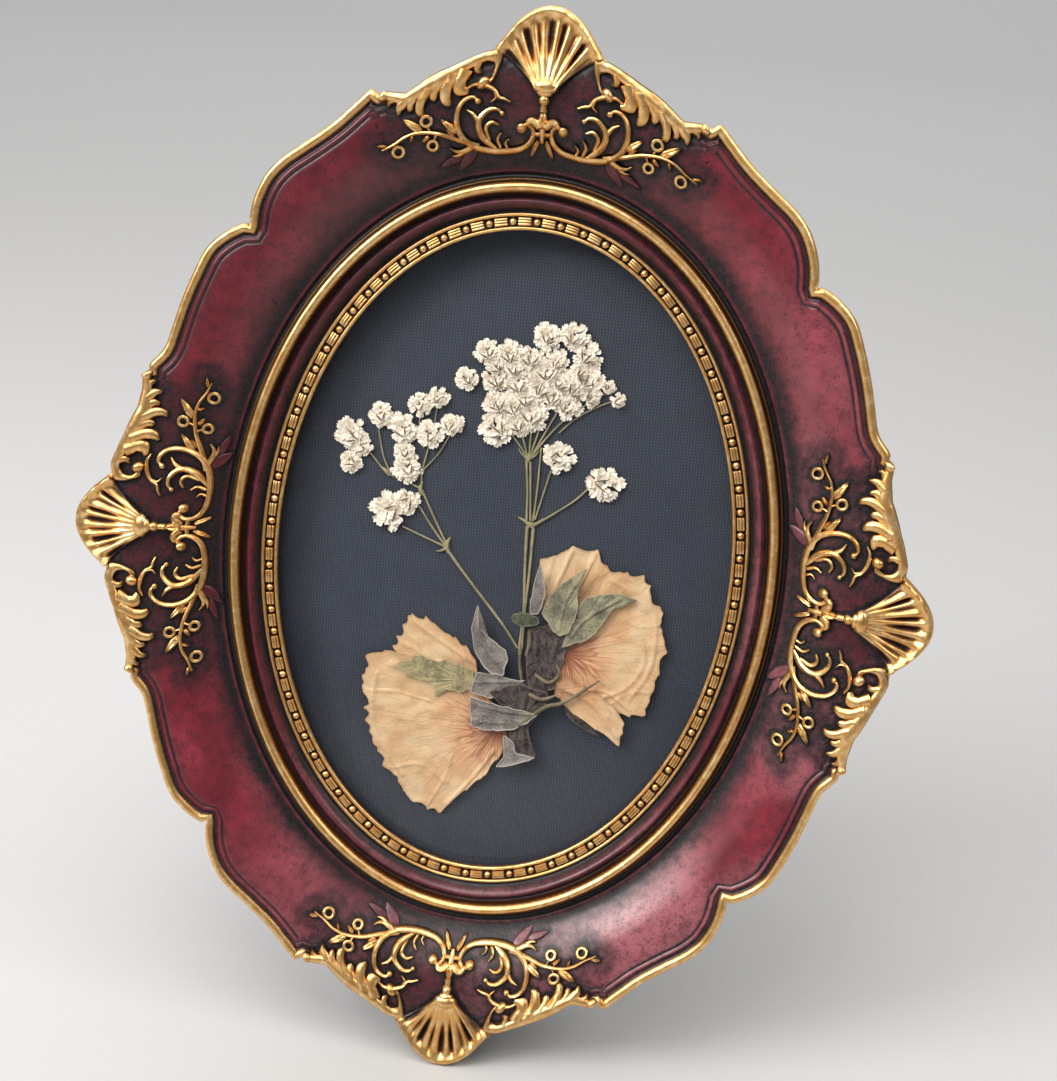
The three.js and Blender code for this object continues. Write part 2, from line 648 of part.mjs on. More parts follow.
// Each sprig: stems, the florets that stand alone and the outline of the crowded head.
const sprigs = {
  gypsophila_sprig_right: {
    stems: [
      [[7.6, -24.5], [6.6, 9], [3.6, 35]],
      [[6.6, 9], [11.5, 28]],
      [[6.6, 9], [24, 22.5]],
    ],
    florets: [[11.5, 28, 4.3], [24, 22.5, 5], [-5.5, 33.5, 4.8]],
    head: [
      [-17.6, 45], [-13.6, 51], [-11, 56.6], [0, 56.4], [4, 62.2], [13, 63], [19.4, 56.6], [21.6, 50],
      [26.8, 45.4], [20, 42.6], [14, 37.6], [7.4, 33], [-1.6, 34.4], [-10, 41.4],
    ],
  },
  gypsophila_sprig_left: {
    stems: [
      [[5.9, -21.4], [-15.5, 0.5], [-24, 18.6], [-24, 30]],
      [[-15.5, 0.5], [-30, 9.6]],
      [[-24, 18.6], [-42, 23]],
      [[-33, 21], [-36.3, 33.3]],
    ],
    florets: [[-31.5, 8.5, 5.5], [-28, 18.8, 4.5], [-42.6, 23.4, 5.6], [-36.3, 33.3, 3.6]],
    head: [
      [-34.4, 29.4], [-32, 35], [-27.4, 40], [-20.4, 42.4], [-14, 34.6], [-18, 29.4], [-24.4, 25.8],
      [-30, 26],
    ],
  },
};
const FLORET_HEIGHT = 2.2;
const FLORET_SIDES = 5;

function stemSolid(line) {
  const back = CARD_FRONT_W + GAP;
  const sections = line.map(([u, v], i) => {
    const [beforeU, beforeV] = line[Math.max(i - 1, 0)];
    const [afterU, afterV] = line[Math.min(i + 1, line.length - 1)];
    const side = new THREE.Vector2(beforeV - afterV, afterU - beforeU).normalize().multiplyScalar(STEM);
    return [[u + side.x, v + side.y, back], [u, v, back + STEM], [u - side.x, v - side.y, back]];
  });
  return outward(skin(sections, false));
}

function floretSolid([u, v, radius]) {
  const back = CARD_FRONT_W + GAP;
  const rings = [[1, 0], [0.6, FLORET_HEIGHT]].map(([share, rise]) =>
    Array.from({ length: FLORET_SIDES }, (_, i) => {
      const turn = (i / FLORET_SIDES) * 2 * Math.PI + u;
      const reach = radius * share;
      return [u + reach * Math.cos(turn), v + reach * Math.sin(turn), back + rise];
    }),
  );
  return outward(skin(rings, false));
}

function sprigGeometry({ stems, florets, head }) {
  const back = CARD_FRONT_W + GAP;
  const headSolid = toSolid(plate(head, back, back + FLORET_HEIGHT));
  return toGeometry(joined([headSolid, ...stems.map(stemSolid), ...florets.map(floretSolid)]));
}

// ---- assembly ----------------------------------------------------------------------------------------
const FINISHES = {
  casting: { color: 0x6b1524, roughness: 0.42, metalness: 0.15 },
  glass: { color: 0xe8eef0, roughness: 0.05, metalness: 0, transparent: true, opacity: 0.3 },
  card: { color: 0x1c222b, roughness: 0.9, metalness: 0 },
  board: { color: 0x241d1b, roughness: 0.85, metalness: 0 },
  steel: { color: 0x8f8c86, roughness: 0.35, metalness: 1 },
  petal: { color: 0xe3c08e, roughness: 0.75, metalness: 0 },
  leaf: { color: 0x55583a, roughness: 0.8, metalness: 0 },
  grey_leaf: { color: 0x8b877f, roughness: 0.85, metalness: 0 },
  calyx: { color: 0x2f2524, roughness: 0.8, metalness: 0 },
  gypsophila: { color: 0xe9e0cf, roughness: 0.85, metalness: 0 },
};

function piece(name, geometry, finish) {
  const mesh = new THREE.Mesh(geometry, new THREE.MeshStandardMaterial(FINISHES[finish]));
  mesh.name = name;
  return mesh;
}

const face = new THREE.Group();
face.rotation.x = Math.PI / 2 - lean;
face.add(piece("frame", frameGeometry(), "casting"));
face.add(piece("glass", ovalPlate(0.4, glassFrontW - GLASS_THICKNESS, glassFrontW), "glass"));
face.add(piece("background_card", ovalPlate(0.4, CARD_FRONT_W - CARD_THICKNESS, CARD_FRONT_W), "card"));
face.add(piece("backing_board", ovalPlate(0.4, boardBackW, boardFrontW), "board"));
TAB_TURNS.forEach((degrees, i) => {
  face.add(piece("retaining_tab_" + (i + 1), tabGeometry(degrees), "steel"));
});
face.add(piece("hinge_bracket", bracketGeometry(), "steel"));
face.add(piece("hinge_pin", pinGeometry(), "steel"));
for (const [name, { outline, layer, material }] of Object.entries(blooms)) {
  face.add(piece(name, pressed(outline, layer), material));
}
for (const [name, sprig] of Object.entries(sprigs)) {
  face.add(piece(name, sprigGeometry(sprig), "gypsophila"));
}

const strut = new THREE.Group();
strut.position.set(0, HINGE_V, HINGE.axisW);
strut.rotation.x = THREE.MathUtils.degToRad(STRUT_OPEN_DEG);
strut.add(piece("easel_strut", strutGeometry(), "board"));
strut.add(piece("hinge_leaf", leafGeometry(), "steel"));
face.add(strut);

// The origin is the middle of the footprint, on the floor.
const object = new THREE.Group();
object.add(face);
const extent = new THREE.Box3().setFromObject(object, true);
face.position.set(-(extent.min.x + extent.max.x) / 2, -(extent.min.y + extent.max.y) / 2, -extent.min.z);

export default object;
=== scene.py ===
"""Dresses an oval pressed flower frame: a burgundy casting with gilt ornaments, a glazed oval that holds
two pressed roses and two sprigs of gypsophila, and a covered back with an easel strut.

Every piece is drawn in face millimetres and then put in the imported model's frame: u to the right, v up along
the leaning face and w towards the viewer, from the middle of the oval at the crest of the gilt ring.
"""

import logging
import math
from collections.abc import Callable, Sequence
from dataclasses import dataclass
from enum import Enum

import bpy
import numpy as np
from mathutils import Matrix, Vector, noise
from mathutils.kdtree import KDTree


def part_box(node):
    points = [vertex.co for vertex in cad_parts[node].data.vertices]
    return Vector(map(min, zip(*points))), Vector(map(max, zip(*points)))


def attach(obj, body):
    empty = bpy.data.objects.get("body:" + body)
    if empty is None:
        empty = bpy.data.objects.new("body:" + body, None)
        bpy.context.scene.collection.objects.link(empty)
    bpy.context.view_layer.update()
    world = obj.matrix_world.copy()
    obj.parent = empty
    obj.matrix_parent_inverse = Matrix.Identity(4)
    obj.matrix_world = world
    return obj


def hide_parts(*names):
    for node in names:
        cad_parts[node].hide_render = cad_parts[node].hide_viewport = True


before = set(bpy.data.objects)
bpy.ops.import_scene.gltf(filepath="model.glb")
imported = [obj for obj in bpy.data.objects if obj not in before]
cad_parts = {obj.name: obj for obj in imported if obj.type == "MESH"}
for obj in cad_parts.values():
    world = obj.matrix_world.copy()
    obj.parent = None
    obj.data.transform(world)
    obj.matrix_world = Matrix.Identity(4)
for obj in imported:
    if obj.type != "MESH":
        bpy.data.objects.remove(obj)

LOG = logging.getLogger("pressed_flower_frame")
MM = 0.001

Line = Sequence[tuple[float, float]]
Colour = tuple[float, float, float]
Array = np.ndarray
Object = bpy.types.Object
Material = bpy.types.Material


class Body(Enum):
    """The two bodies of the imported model."""

    FRAME = "frame_body"
    STRUT = "strut_body"


class Slot(Enum):
    """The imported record's material slots that the pieces take."""

    CASTING = "casting"
    BOARD = "board"
    STEEL = "steel"
    PETAL = "petal"
    LEAF = "leaf"
    GREY_LEAF = "grey_leaf"
    CALYX = "calyx"
    GYPSOPHILA = "gypsophila"


class Trait(Enum):
    """Values kept at the vertices for the finishes to read."""

    GILT = "gilt"  # 1 where gold lies on the lacquer
    # On the moulding, WASH also holds painted shade round the carving.
    WASH = "wash"  # 1 where the dark antiquing collects
    RAY = "ray"  # turn about a petal's base, in radians
    REACH = "reach"  # distance from a petal's base, in millimetres
    EDGE = "edge"  # distance in from a petal's edge, in millimetres


# ---- the leaning face ----
LEAN = math.radians(15)
GLASS_MIDDLE_W = -8.25
CARD_FRONT_W = -13.0
BOARD_FRONT_W = -14.3
BOARD_BACK_W = -17.2
BACK_W = -17.5


@dataclass(frozen=True)
class Face:
    """The plane that the frame is drawn on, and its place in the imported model's frame."""

    origin: Vector

    @classmethod
    def behind_glass(cls) -> "Face":
        """Finds the face from the box of the glass, whose middle is on the oval's axis.

        Returns:
            The face, with its origin in metres.
        """
        low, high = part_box("glass")
        forward = Vector((0, -math.cos(LEAN), math.sin(LEAN)))
        return cls((low + high) / 2 - forward * GLASS_MIDDLE_W * MM)

    def matrix(self) -> Matrix:
        """Face millimetres to metres in the model's frame."""
        turn = Matrix.Rotation(math.pi / 2 - LEAN, 4, "X")
        return Matrix.Translation(self.origin) @ turn @ Matrix.Scale(MM, 4)

    def floor(self) -> tuple[Vector, Vector]:
        """A point of the floor and the upward direction, both in face millimetres."""
        up = Vector((0, math.cos(LEAN), math.sin(LEAN)))
        return up * (-self.origin.z / MM), up


FACE = Face.behind_glass()


# ---- outlines and heights ----
SIGHT_U = 59.0
SIGHT_V = 84.1
RING_OFFSET = 10.3  # sight edge to the crest of the gilt ring
RING_U = SIGHT_U + RING_OFFSET - 0.3
RING_V = SIGHT_V + RING_OFFSET + 0.3

# Heights of the broad scoop over the distance outside the gilt ring's crest.
SCOOP_REACH = (4.6, 6, 8, 10, 12, 14, 16, 18, 20, 22, 25, 30, 42)
SCOOP_HEIGHT = (-2.4, -1.7, 0, 1.7, 3.2, 4.5, 5.4, 6.1, 6.6, 7, 7.4, 8, 9)
SHELL_HOLLOW = 1.7  # how far the moulding sinks under the shells
HEEL_HALF = 2.6  # half the width of a shell where it starts
HEEL_OUT = 21.0  # where it starts, outside the ring's crest


def oval_foot(points: Array) -> tuple[Array, Array]:
    """Drops each point on the sight oval along the oval's normal.

    Args:
        points: Face points, one row of (u, v) each.

    Returns:
        The turn of each foot, and the distance from the foot to the point.
    """
    u, v = points[:, 0], points[:, 1]
    turn = np.arctan2(v * SIGHT_U, u * SIGHT_V)
    spread = SIGHT_U**2 - SIGHT_V**2
    for _ in range(12):
        c, s = np.cos(turn), np.sin(turn)
        slope = spread * s * c - u * SIGHT_U * s + v * SIGHT_V * c
        bend = spread * (c * c - s * s) - u * SIGHT_U * c - v * SIGHT_V * s
        turn = turn - slope / bend
    return turn, np.hypot(u - SIGHT_U * np.cos(turn), v - SIGHT_V * np.sin(turn))


def oval_point(turn: Array, offset: float) -> Array:
    """Points at a distance outside the sight oval, one row of (u, v) for each turn."""
    across, up = np.cos(turn) / SIGHT_U, np.sin(turn) / SIGHT_V
    size = np.hypot(across, up)
    u = SIGHT_U * np.cos(turn) + across / size * offset
    v = SIGHT_V * np.sin(turn) + up / size * offset
    return np.stack([u, v], axis=1)


def scoop(distance: Array) -> Array:
    """Height of the scoop at distances outside the gilt ring's crest."""
    return np.interp(distance, SCOOP_REACH, SCOOP_HEIGHT)


def surface_w(points: Array) -> Array:
    """Height of the moulding under face points."""
    return scoop(oval_foot(points)[1] - RING_OFFSET)


def under_shell(points: Array) -> Array:
    """How far face points lie inside the outline of a shell.

    Args:
        points: Face points, one row of (u, v) each.

    Returns:
        0 for a point outside, 1 for one well inside.
    """
    across, up = np.abs(points).T
    sideways = np.array(SHELL_EDGE_RIGHT) - (RING_U, 0)
    upright = np.array(SHELL_EDGE_TOP)[::-1, ::-1] - (RING_V, 0)
    inside = np.zeros(len(points))
    for along, out, rim in ((up, across - RING_U, sideways), (across, up - RING_V, upright)):
        reach, wide = rim[-1]
        fan = HEEL_HALF + (wide - HEEL_HALF) * (out - HEEL_OUT) / (reach - HEEL_OUT)
        half = np.minimum(fan, np.interp(out, rim[::-1, 0], rim[::-1, 1]))
        deep = np.clip((half - along - 1.8) / 1.2, 0, 1) * np.clip((out - HEEL_OUT - 1) / 2, 0, 1)
        inside = np.maximum(inside, deep)
    return inside


def smooth_line(points: Line, step: float, closed: bool = False, ease: float = 1.0) -> Array:
    """Runs a smooth curve through points.

    Args:
        points: The points that the curve passes through.
        step: Distance between the points of the result.
        closed: Whether the curve comes back to its start.
        ease: 1 for round bends, less for bends that come closer to corners.

    Returns:
        Evenly spaced points, with both ends of an open curve.
    """
    given = np.array(points, float)
    if closed:
        padded = np.vstack([given[-1], given, given[:2]])
    else:
        padded = np.vstack([2 * given[0] - given[1], given, 2 * given[-1] - given[-2]])
    shares = np.linspace(0, 1, 16, endpoint=False)[:, None]
    rows = []
    for a, b, c, d in zip(padded, padded[1:], padded[2:], padded[3:]):
        leave, arrive = (c - a) * ease / 2, (d - b) * ease / 2
        rows.append(
            b + shares * leave
            + shares**2 * (3 * (c - b) - 2 * leave - arrive)
            + shares**3 * (2 * (b - c) + leave + arrive)
        )
    dense = np.vstack(rows + [padded[-2][None]])
    along = np.concatenate([[0], np.cumsum(np.hypot(*np.diff(dense, axis=0).T))])
    count = max(2, round(along[-1] / step))
    at = np.linspace(0, along[-1], count + 1)
    line = np.stack([np.interp(at, along, dense[:, k]) for k in range(dense.shape[1])], axis=1)
    return line[:-1] if closed else line


# The outline of one quarter in its runs, which meet at cusps.
SHELL_EDGE_RIGHT = ((108.5, 0), (107.7, 3.8), (105.2, 7.6), (102.3, 10.4), (100.2, 12.2))
ACANTHUS_EDGE_RIGHT = (
    (100.2, 12.2), (100, 15), (98.5, 20), (96, 25), (93.6, 30), (92.9, 35), (93.3, 38.4), (91.9, 39.8),
)
LOBE_LOWER = (
    (91.9, 39.8), (91.8, 41.4), (88.6, 45.5), (86.7, 51.7), (84.9, 57.8), (82.4, 64.6), (79.3, 71.3), (75, 75.6),
    (70.6, 78.1), (69.2, 77.65),
)
LOBE_UPPER = (
    (69.2, 77.65), (69.3, 80), (68.3, 84.9), (65.8, 90.4), (62.1, 94.7), (56.6, 99), (50.4, 104), (45.5, 108.9),
    (41.8, 112.4), (39.6, 111.4),
)
ACANTHUS_EDGE_TOP = ((39.6, 111.4), (38, 112.2), (33, 112), (27, 116.5), (20, 121), (13, 124.2))
SHELL_EDGE_TOP = ((13, 124.2), (10.8, 127.4), (7.6, 131.4), (3.8, 134.1), (0, 135))
QUARTER_RUNS = (ACANTHUS_EDGE_RIGHT, LOBE_LOWER, LOBE_UPPER, ACANTHUS_EDGE_TOP)


def mirrored(run: Line, across: bool) -> Line:
    """A run of the outline, mirrored left and right or up and down, and drawn the other way round."""
    return tuple((-u, v) if across else (u, -v) for u, v in reversed(run))


def outline_points(step: float) -> Array:
    """The whole outline of the casting, anticlockwise from the right shell, sharp at its cusps."""
    right_shell = mirrored(SHELL_EDGE_RIGHT, False)[:-1] + SHELL_EDGE_RIGHT
    top_shell = SHELL_EDGE_TOP[:-1] + mirrored(SHELL_EDGE_TOP, True)
    upper = [*QUARTER_RUNS, top_shell, *(mirrored(run, True) for run in reversed(QUARTER_RUNS))]
    left_shell = tuple((-u, -v) for u, v in right_shell)
    lower = [tuple((-u, -v) for u, v in run) for run in upper]
    runs = [right_shell, *upper, left_shell, *lower]
    return np.vstack([smooth_line(run, step)[:-1] for run in runs])


# ---- Blender's modelling operators ----
FINE_WELD = 0.0005  # for small carving


def clear_selection() -> None:
    """Deselects every object."""
    bpy.ops.object.select_all(action="DESELECT")


def select_only(obj: Object) -> None:
    """Makes one object the selected and active one."""
    clear_selection()
    obj.select_set(True)
    bpy.context.view_layer.objects.active = obj


def edit(obj: Object, *steps: Callable[[], object]) -> None:
    """Runs edit-mode operators on the whole mesh of an object.

    Args:
        obj: The object to edit.
        steps: Calls of mesh operators, run in order with everything selected.
    """
    select_only(obj)
    bpy.ops.object.mode_set(mode="EDIT")
    for step in steps:
        bpy.ops.mesh.select_all(action="SELECT")
        step()
    bpy.ops.object.mode_set(mode="OBJECT")


def weld(obj: Object, distance: float = 0.002) -> None:
    """Merges the doubled vertices of a mesh and turns its faces outwards."""
    edit(
        obj,
        lambda: bpy.ops.mesh.remove_doubles(threshold=distance),
        lambda: bpy.ops.mesh.normals_make_consistent(inside=False),
    )


def modify(obj: Object, kind: str, **settings: object) -> None:
    """Adds a modifier and applies it.

    Args:
        obj: The object to change.
        kind: The modifier's type.
        settings: Values for the modifier.
    """
    select_only(obj)
    modifier = obj.modifiers.new(kind.title(), kind)
    for key, value in settings.items():
        setattr(modifier, key, value)
    bpy.ops.object.modifier_apply(modifier=modifier.name)


def points_of(obj: Object) -> Array:
    """The vertices of an object's mesh, one row each."""
    flat = np.empty(len(obj.data.vertices) * 3, np.float32)
    obj.data.vertices.foreach_get("co", flat)
    return flat.reshape(-1, 3).astype(float)


def move_points(obj: Object, points: Array) -> None:
    """Puts the vertices of an object's mesh at new places."""
    obj.data.vertices.foreach_set("co", points.astype(np.float32).ravel())
    obj.data.update()


def stretch(obj: Object, scale: Sequence[float], offset: Sequence[float]) -> None:
    """Scales the vertices of an object's mesh, and then shifts them."""
    move_points(obj, points_of(obj) * scale + np.array(offset))


def cut_at_floor(obj: Object) -> None:
    """Cuts a mesh off flat where the frame stands."""
    point, up = FACE.floor()
    edit(obj, lambda: bpy.ops.mesh.bisect(plane_co=point, plane_no=up, use_fill=True, clear_inner=True))


def set_trait(obj: Object, trait: Trait, values: Array) -> None:
    """Stores one value at each vertex."""
    held = obj.data.attributes.get(trait.value) or obj.data.attributes.new(trait.value, "FLOAT", "POINT")
    held.data.foreach_set("value", np.asarray(values, np.float32))


def added(operator: Callable[..., object], **settings: object) -> Object:
    """Adds an object with nothing else selected.

    Args:
        operator: The operator that adds it.
        settings: The operator's settings.

    Returns:
        The new object.
    """
    clear_selection()
    operator(**settings)
    return bpy.context.object


def sheet_mesh(columns: int, rows: int, shape: Callable[[Array, Array], Array]) -> Object:
    """Adds a grid and lays it over a surface.

    Args:
        columns: Cells along the first direction.
        rows: Cells along the second direction.
        shape: Gives the points for arrays of column numbers and row numbers.

    Returns:
        The new object.
    """
    obj = added(bpy.ops.mesh.primitive_grid_add, x_subdivisions=columns, y_subdivisions=rows, size=1)
    move_points(obj, shape(*grid_order(columns, rows)))
    return obj


def grid_order(columns: int, rows: int) -> tuple[Array, Array]:
    """Column and row numbers of a grid's vertices, in the order in which they are stored."""
    return np.tile(np.arange(columns + 1), rows + 1), np.repeat(np.arange(rows + 1), columns + 1)


def ball(centre: Sequence[float], radius: float, scale_z: float = 1.0, segments: int = 14) -> Object:
    """Adds a rounded boss at a place, lower or taller than it is wide."""
    rings = segments // 2 + 1
    obj = added(bpy.ops.mesh.primitive_uv_sphere_add, segments=segments, ring_count=rings, radius=radius)
    stretch(obj, (1, 1, scale_z), centre)
    return obj


def berry(centre: Sequence[float], radius: float, thickness: float) -> Object:
    """Adds an open ring with a round section."""
    obj = added(
        bpy.ops.mesh.primitive_torus_add,
        major_segments=20, minor_segments=8, major_radius=radius, minor_radius=thickness, location=centre,
    )
    bpy.ops.object.transform_apply(location=True, rotation=False, scale=False)
    return obj


def block(size: Sequence[float], centre: Sequence[float], bevel: float) -> Object:
    """Adds a box with rounded edges.

    Args:
        size: Length of each side.
        centre: Middle of the box.
        bevel: Width of the rounded edges.

    Returns:
        The new object.
    """
    obj = added(bpy.ops.mesh.primitive_cube_add, size=1, location=centre, scale=size)
    bpy.ops.object.transform_apply(location=True, rotation=True, scale=True)
    modify(obj, "BEVEL", width=bevel, segments=2)
    return obj


@dataclass(frozen=True)
class Stroke:
    """A tapered, round-topped stroke of carving or a stem, along a smooth line."""

    points: Sequence[Sequence[float]]
    radii: tuple[float, ...]


def strokes_mesh(strokes: Sequence[Stroke], step: float = 0.7, sides: int = 2) -> Object:
    """Sweeps every stroke as one curve object and makes it a mesh.

    Args:
        strokes: The strokes, in two or three dimensions.
        step: Distance between sections.
        sides: Bevel resolution of the section.

    Returns:
        The new mesh object.
    """
    curve = added(bpy.ops.curve.primitive_bezier_curve_add).data
    curve.splines.clear()
    curve.dimensions = "3D"
    curve.bevel_depth, curve.bevel_resolution, curve.use_fill_caps = 1, sides, True
    for stroke in strokes:
        line = smooth_line(stroke.points, step)
        if line.shape[1] == 2:
            line = np.column_stack([line, np.zeros(len(line))])
        share = np.linspace(0, 1, len(line))
        radii = np.interp(share, np.linspace(0, 1, len(stroke.radii)), stroke.radii)
        spline = curve.splines.new("POLY")
        spline.points.add(len(line) - 1)
        spline.points.foreach_set("co", np.column_stack([line, np.ones(len(line))]).ravel())
        spline.points.foreach_set("radius", radii)
    bpy.ops.object.convert(target="MESH")
    return bpy.context.object


def join(objects: Sequence[Object]) -> Object:
    """Joins objects in the first one."""
    clear_selection()
    for obj in objects:
        obj.select_set(True)
    bpy.context.view_layer.objects.active = objects[0]
    if len(objects) > 1:
        bpy.ops.object.join()
    return bpy.context.object


def copy_of(obj: Object) -> Object:
    """A copy of an object with a mesh of its own."""
    twin = obj.copy()
    twin.data = obj.data.copy()
    bpy.context.collection.objects.link(twin)
    return twin


def discard(*objects: Object) -> None:
    """Removes templates that were only there to be copied."""
    for obj in objects:
        bpy.data.objects.remove(obj)


def ripple(points: Array, scale: float, seed: float) -> Array:
    """Smooth noise between about -1 and 1 at rows of (u, v), with lumps of a size in millimetres."""
    return np.array([noise.noise(Vector((u / scale, v / scale, seed))) for u, v in points])


def tree_of(points: Array) -> KDTree:
    """A search tree over rows of (u, v)."""
    tree = KDTree(len(points))
    for i, (u, v) in enumerate(points):
        tree.insert((u, v, 0), i)
    tree.balance()
    return tree


def distances(tree: KDTree, points: Array) -> Array:
    """How far each row of (u, v) is from a tree's nearest point."""
    return np.array([tree.find((u, v, 0))[2] for u, v in points])


@dataclass
class Piece:
    """A finished part of the shown object, and where it belongs."""

    name: str
    slot: Slot
    finish: Material
    body: Body = Body.FRAME
    replaces: tuple[str, ...] = ()
    smooth_angle: float = 40.0

    def deliver(self, obj: Object) -> None:
        """Puts a mesh drawn in face millimetres in its place, riding on its body, and dresses it.

        Args:
            obj: The mesh object.
        """
        obj.name = obj.data.name = self.name
        obj.data.transform(FACE.matrix())
        obj.matrix_world = Matrix.Identity(4)
        select_only(obj)
        bpy.ops.object.shade_smooth_by_angle(angle=math.radians(self.smooth_angle))
        obj.data.materials.clear()
        obj.data.materials.append(self.finish)
        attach(obj, self.body.value)
        if self.replaces:
            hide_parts(*self.replaces)
        LOG.info("%s: %d vertices, slot %s", obj.name, len(obj.data.vertices), self.slot.value)


# ---- shader maths ----
class Socket:
    """The output of a shader node, with the operators that the finishes use."""

    def __init__(self, shader: "Shader", output: bpy.types.NodeSocket) -> None:
        """Wraps an output of one of the shader's nodes."""
        self.shader = shader
        self.output = output

    def __add__(self, other: "Socket | float") -> "Socket":
        """Adds a value."""
        return self.shader.math("ADD", self, other)

    __radd__ = __add__

    def __sub__(self, other: "Socket | float") -> "Socket":
        """Takes a value away."""
        return self.shader.math("SUBTRACT", self, other)

    def __rsub__(self, other: float) -> "Socket":
        """Takes this value away from a number."""
        return self.shader.math("SUBTRACT", other, self)

    def __mul__(self, other: "Socket | float") -> "Socket":
        """Multiplies by a value."""
        return self.shader.math("MULTIPLY", self, other)

    __rmul__ = __mul__

    def __abs__(self) -> "Socket":
        """The value without its sign."""
        return self.shader.math("ABSOLUTE", self)


class Shader:
    """A node material around one surface node."""

    def __init__(self, name: str, kind: str = "BsdfPrincipled", **constants: object) -> None:
        """Starts a material.

        Args:
            name: The material's name.
            kind: The type of the surface node, without its "ShaderNode".
            constants: Values for sockets of the surface node, named as for make.
        """
        self.material = bpy.data.materials.new(name)
        self.material.use_nodes = True
        self.tree = self.material.node_tree
        self.tree.nodes.clear()
        self.surface = self.make(kind, **constants)
        self.make("OutputMaterial", Surface=Socket(self, self.surface.outputs[0]))

    def plug(self, node: bpy.types.Node, inputs: dict[str, object]) -> None:
        """Links sockets to a node's inputs, or sets their values.

        Args:
            node: The node.
            inputs: Values or sockets by input name, with underscores for spaces; i0, i1 go by number.
        """
        for key, value in inputs.items():
            by_number = key[0] == "i" and key[1:].isdigit()
            target = node.inputs[int(key[1:]) if by_number else key.replace("_", " ")]
            if isinstance(value, Socket):
                self.tree.links.new(value.output, target)
            elif target.type == "RGBA":
                target.default_value = (*value, 1)
            else:
                target.default_value = value

    def make(self, kind: str, settings: dict[str, object] | None = None, **inputs: object) -> bpy.types.Node:
        """Adds a node.

        Args:
            kind: The node's type, without its "ShaderNode".
            settings: Properties that are set before the inputs.
            inputs: Values or sockets, named as for plug.

        Returns:
            The node.
        """
        made = self.tree.nodes.new("ShaderNode" + kind)
        for key, value in (settings or {}).items():
            setattr(made, key, value)
        self.plug(made, inputs)
        return made

    def node(
        self, kind: str, settings: dict[str, object] | None = None, output: str | int = 0, **inputs: object
    ) -> Socket:
        """Adds a node and returns one of its outputs, by name or number."""
        return Socket(self, self.make(kind, settings, **inputs).outputs[output])

    def math(self, operation: str, *values: "Socket | float") -> Socket:
        """Adds a Math node for the values."""
        inputs = {f"i{i}": value for i, value in enumerate(values)}
        return self.node("Math", {"operation": operation}, **inputs)

    def place(self, turn: float = 0.0, scale: Sequence[float] = (1, 1, 1)) -> Socket:
        """Object coordinates, in metres, turned about X and scaled."""
        coordinates = self.node("TexCoord", output="Object")
        return self.node("Mapping", Vector=coordinates, Rotation=(turn, 0, 0), Scale=tuple(scale))

    def trait(self, trait: Trait) -> Socket:
        """A value kept at the vertices."""
        return self.node("Attribute", {"attribute_name": trait.value}, output="Fac")

    def pattern(self, kind: str, size: float, vector: Socket | None, **inputs: object) -> Socket:
        """A texture with features of a size in millimetres, or per unit of a given vector."""
        scale = 1 / size if vector else 1 / (size * MM)
        return self.node(kind, Vector=vector or self.place(), Scale=scale, **inputs)

    def noise(self, size: float, detail: float, rough: float, vector: Socket | None = None) -> Socket:
        """Noise with lumps of a size, as for pattern."""
        return self.pattern("TexNoise", size, vector, Detail=detail, Roughness=rough)

    def cells(self, size: float, vector: Socket | None = None) -> Socket:
        """Distance to the edges of Voronoi cells of a size, as for pattern."""
        return self.pattern("TexVoronoi", size, vector, settings={"feature": "DISTANCE_TO_EDGE"}, output="Distance")

    def fade(self, value: Socket, low: float, high: float) -> Socket:
        """0 up to low, 1 from high on, with a smooth change between."""
        return self.node(
            "MapRange", {"interpolation_type": "SMOOTHSTEP"}, output="Result",
            Value=value, i1=float(low), i2=float(high), i3=0.0, i4=1.0,
        )

    def blend(self, factor: "Socket | float", first: "Socket | Colour", second: "Socket | Colour") -> Socket:
        """Mixes two colours."""
        return self.node("Mix", {"data_type": "RGBA"}, 2, i0=factor, i6=first, i7=second)

    def combine(self, x: "Socket | float", y: "Socket | float", z: "Socket | float" = 0.0) -> Socket:
        """A vector from three values."""
        return self.node("CombineXYZ", i0=x, i1=y, i2=z)

    def bump(self, height: Socket, depth: float, strength: float) -> Socket:
        """A bump of a depth in millimetres."""
        return self.node("Bump", Strength=strength, Distance=depth * MM, Height=height)

    def finish(self, **sockets: object) -> Material:
        """Feeds the surface node's varying sockets and returns the material."""
        self.plug(self.surface, sockets)
        return self.material


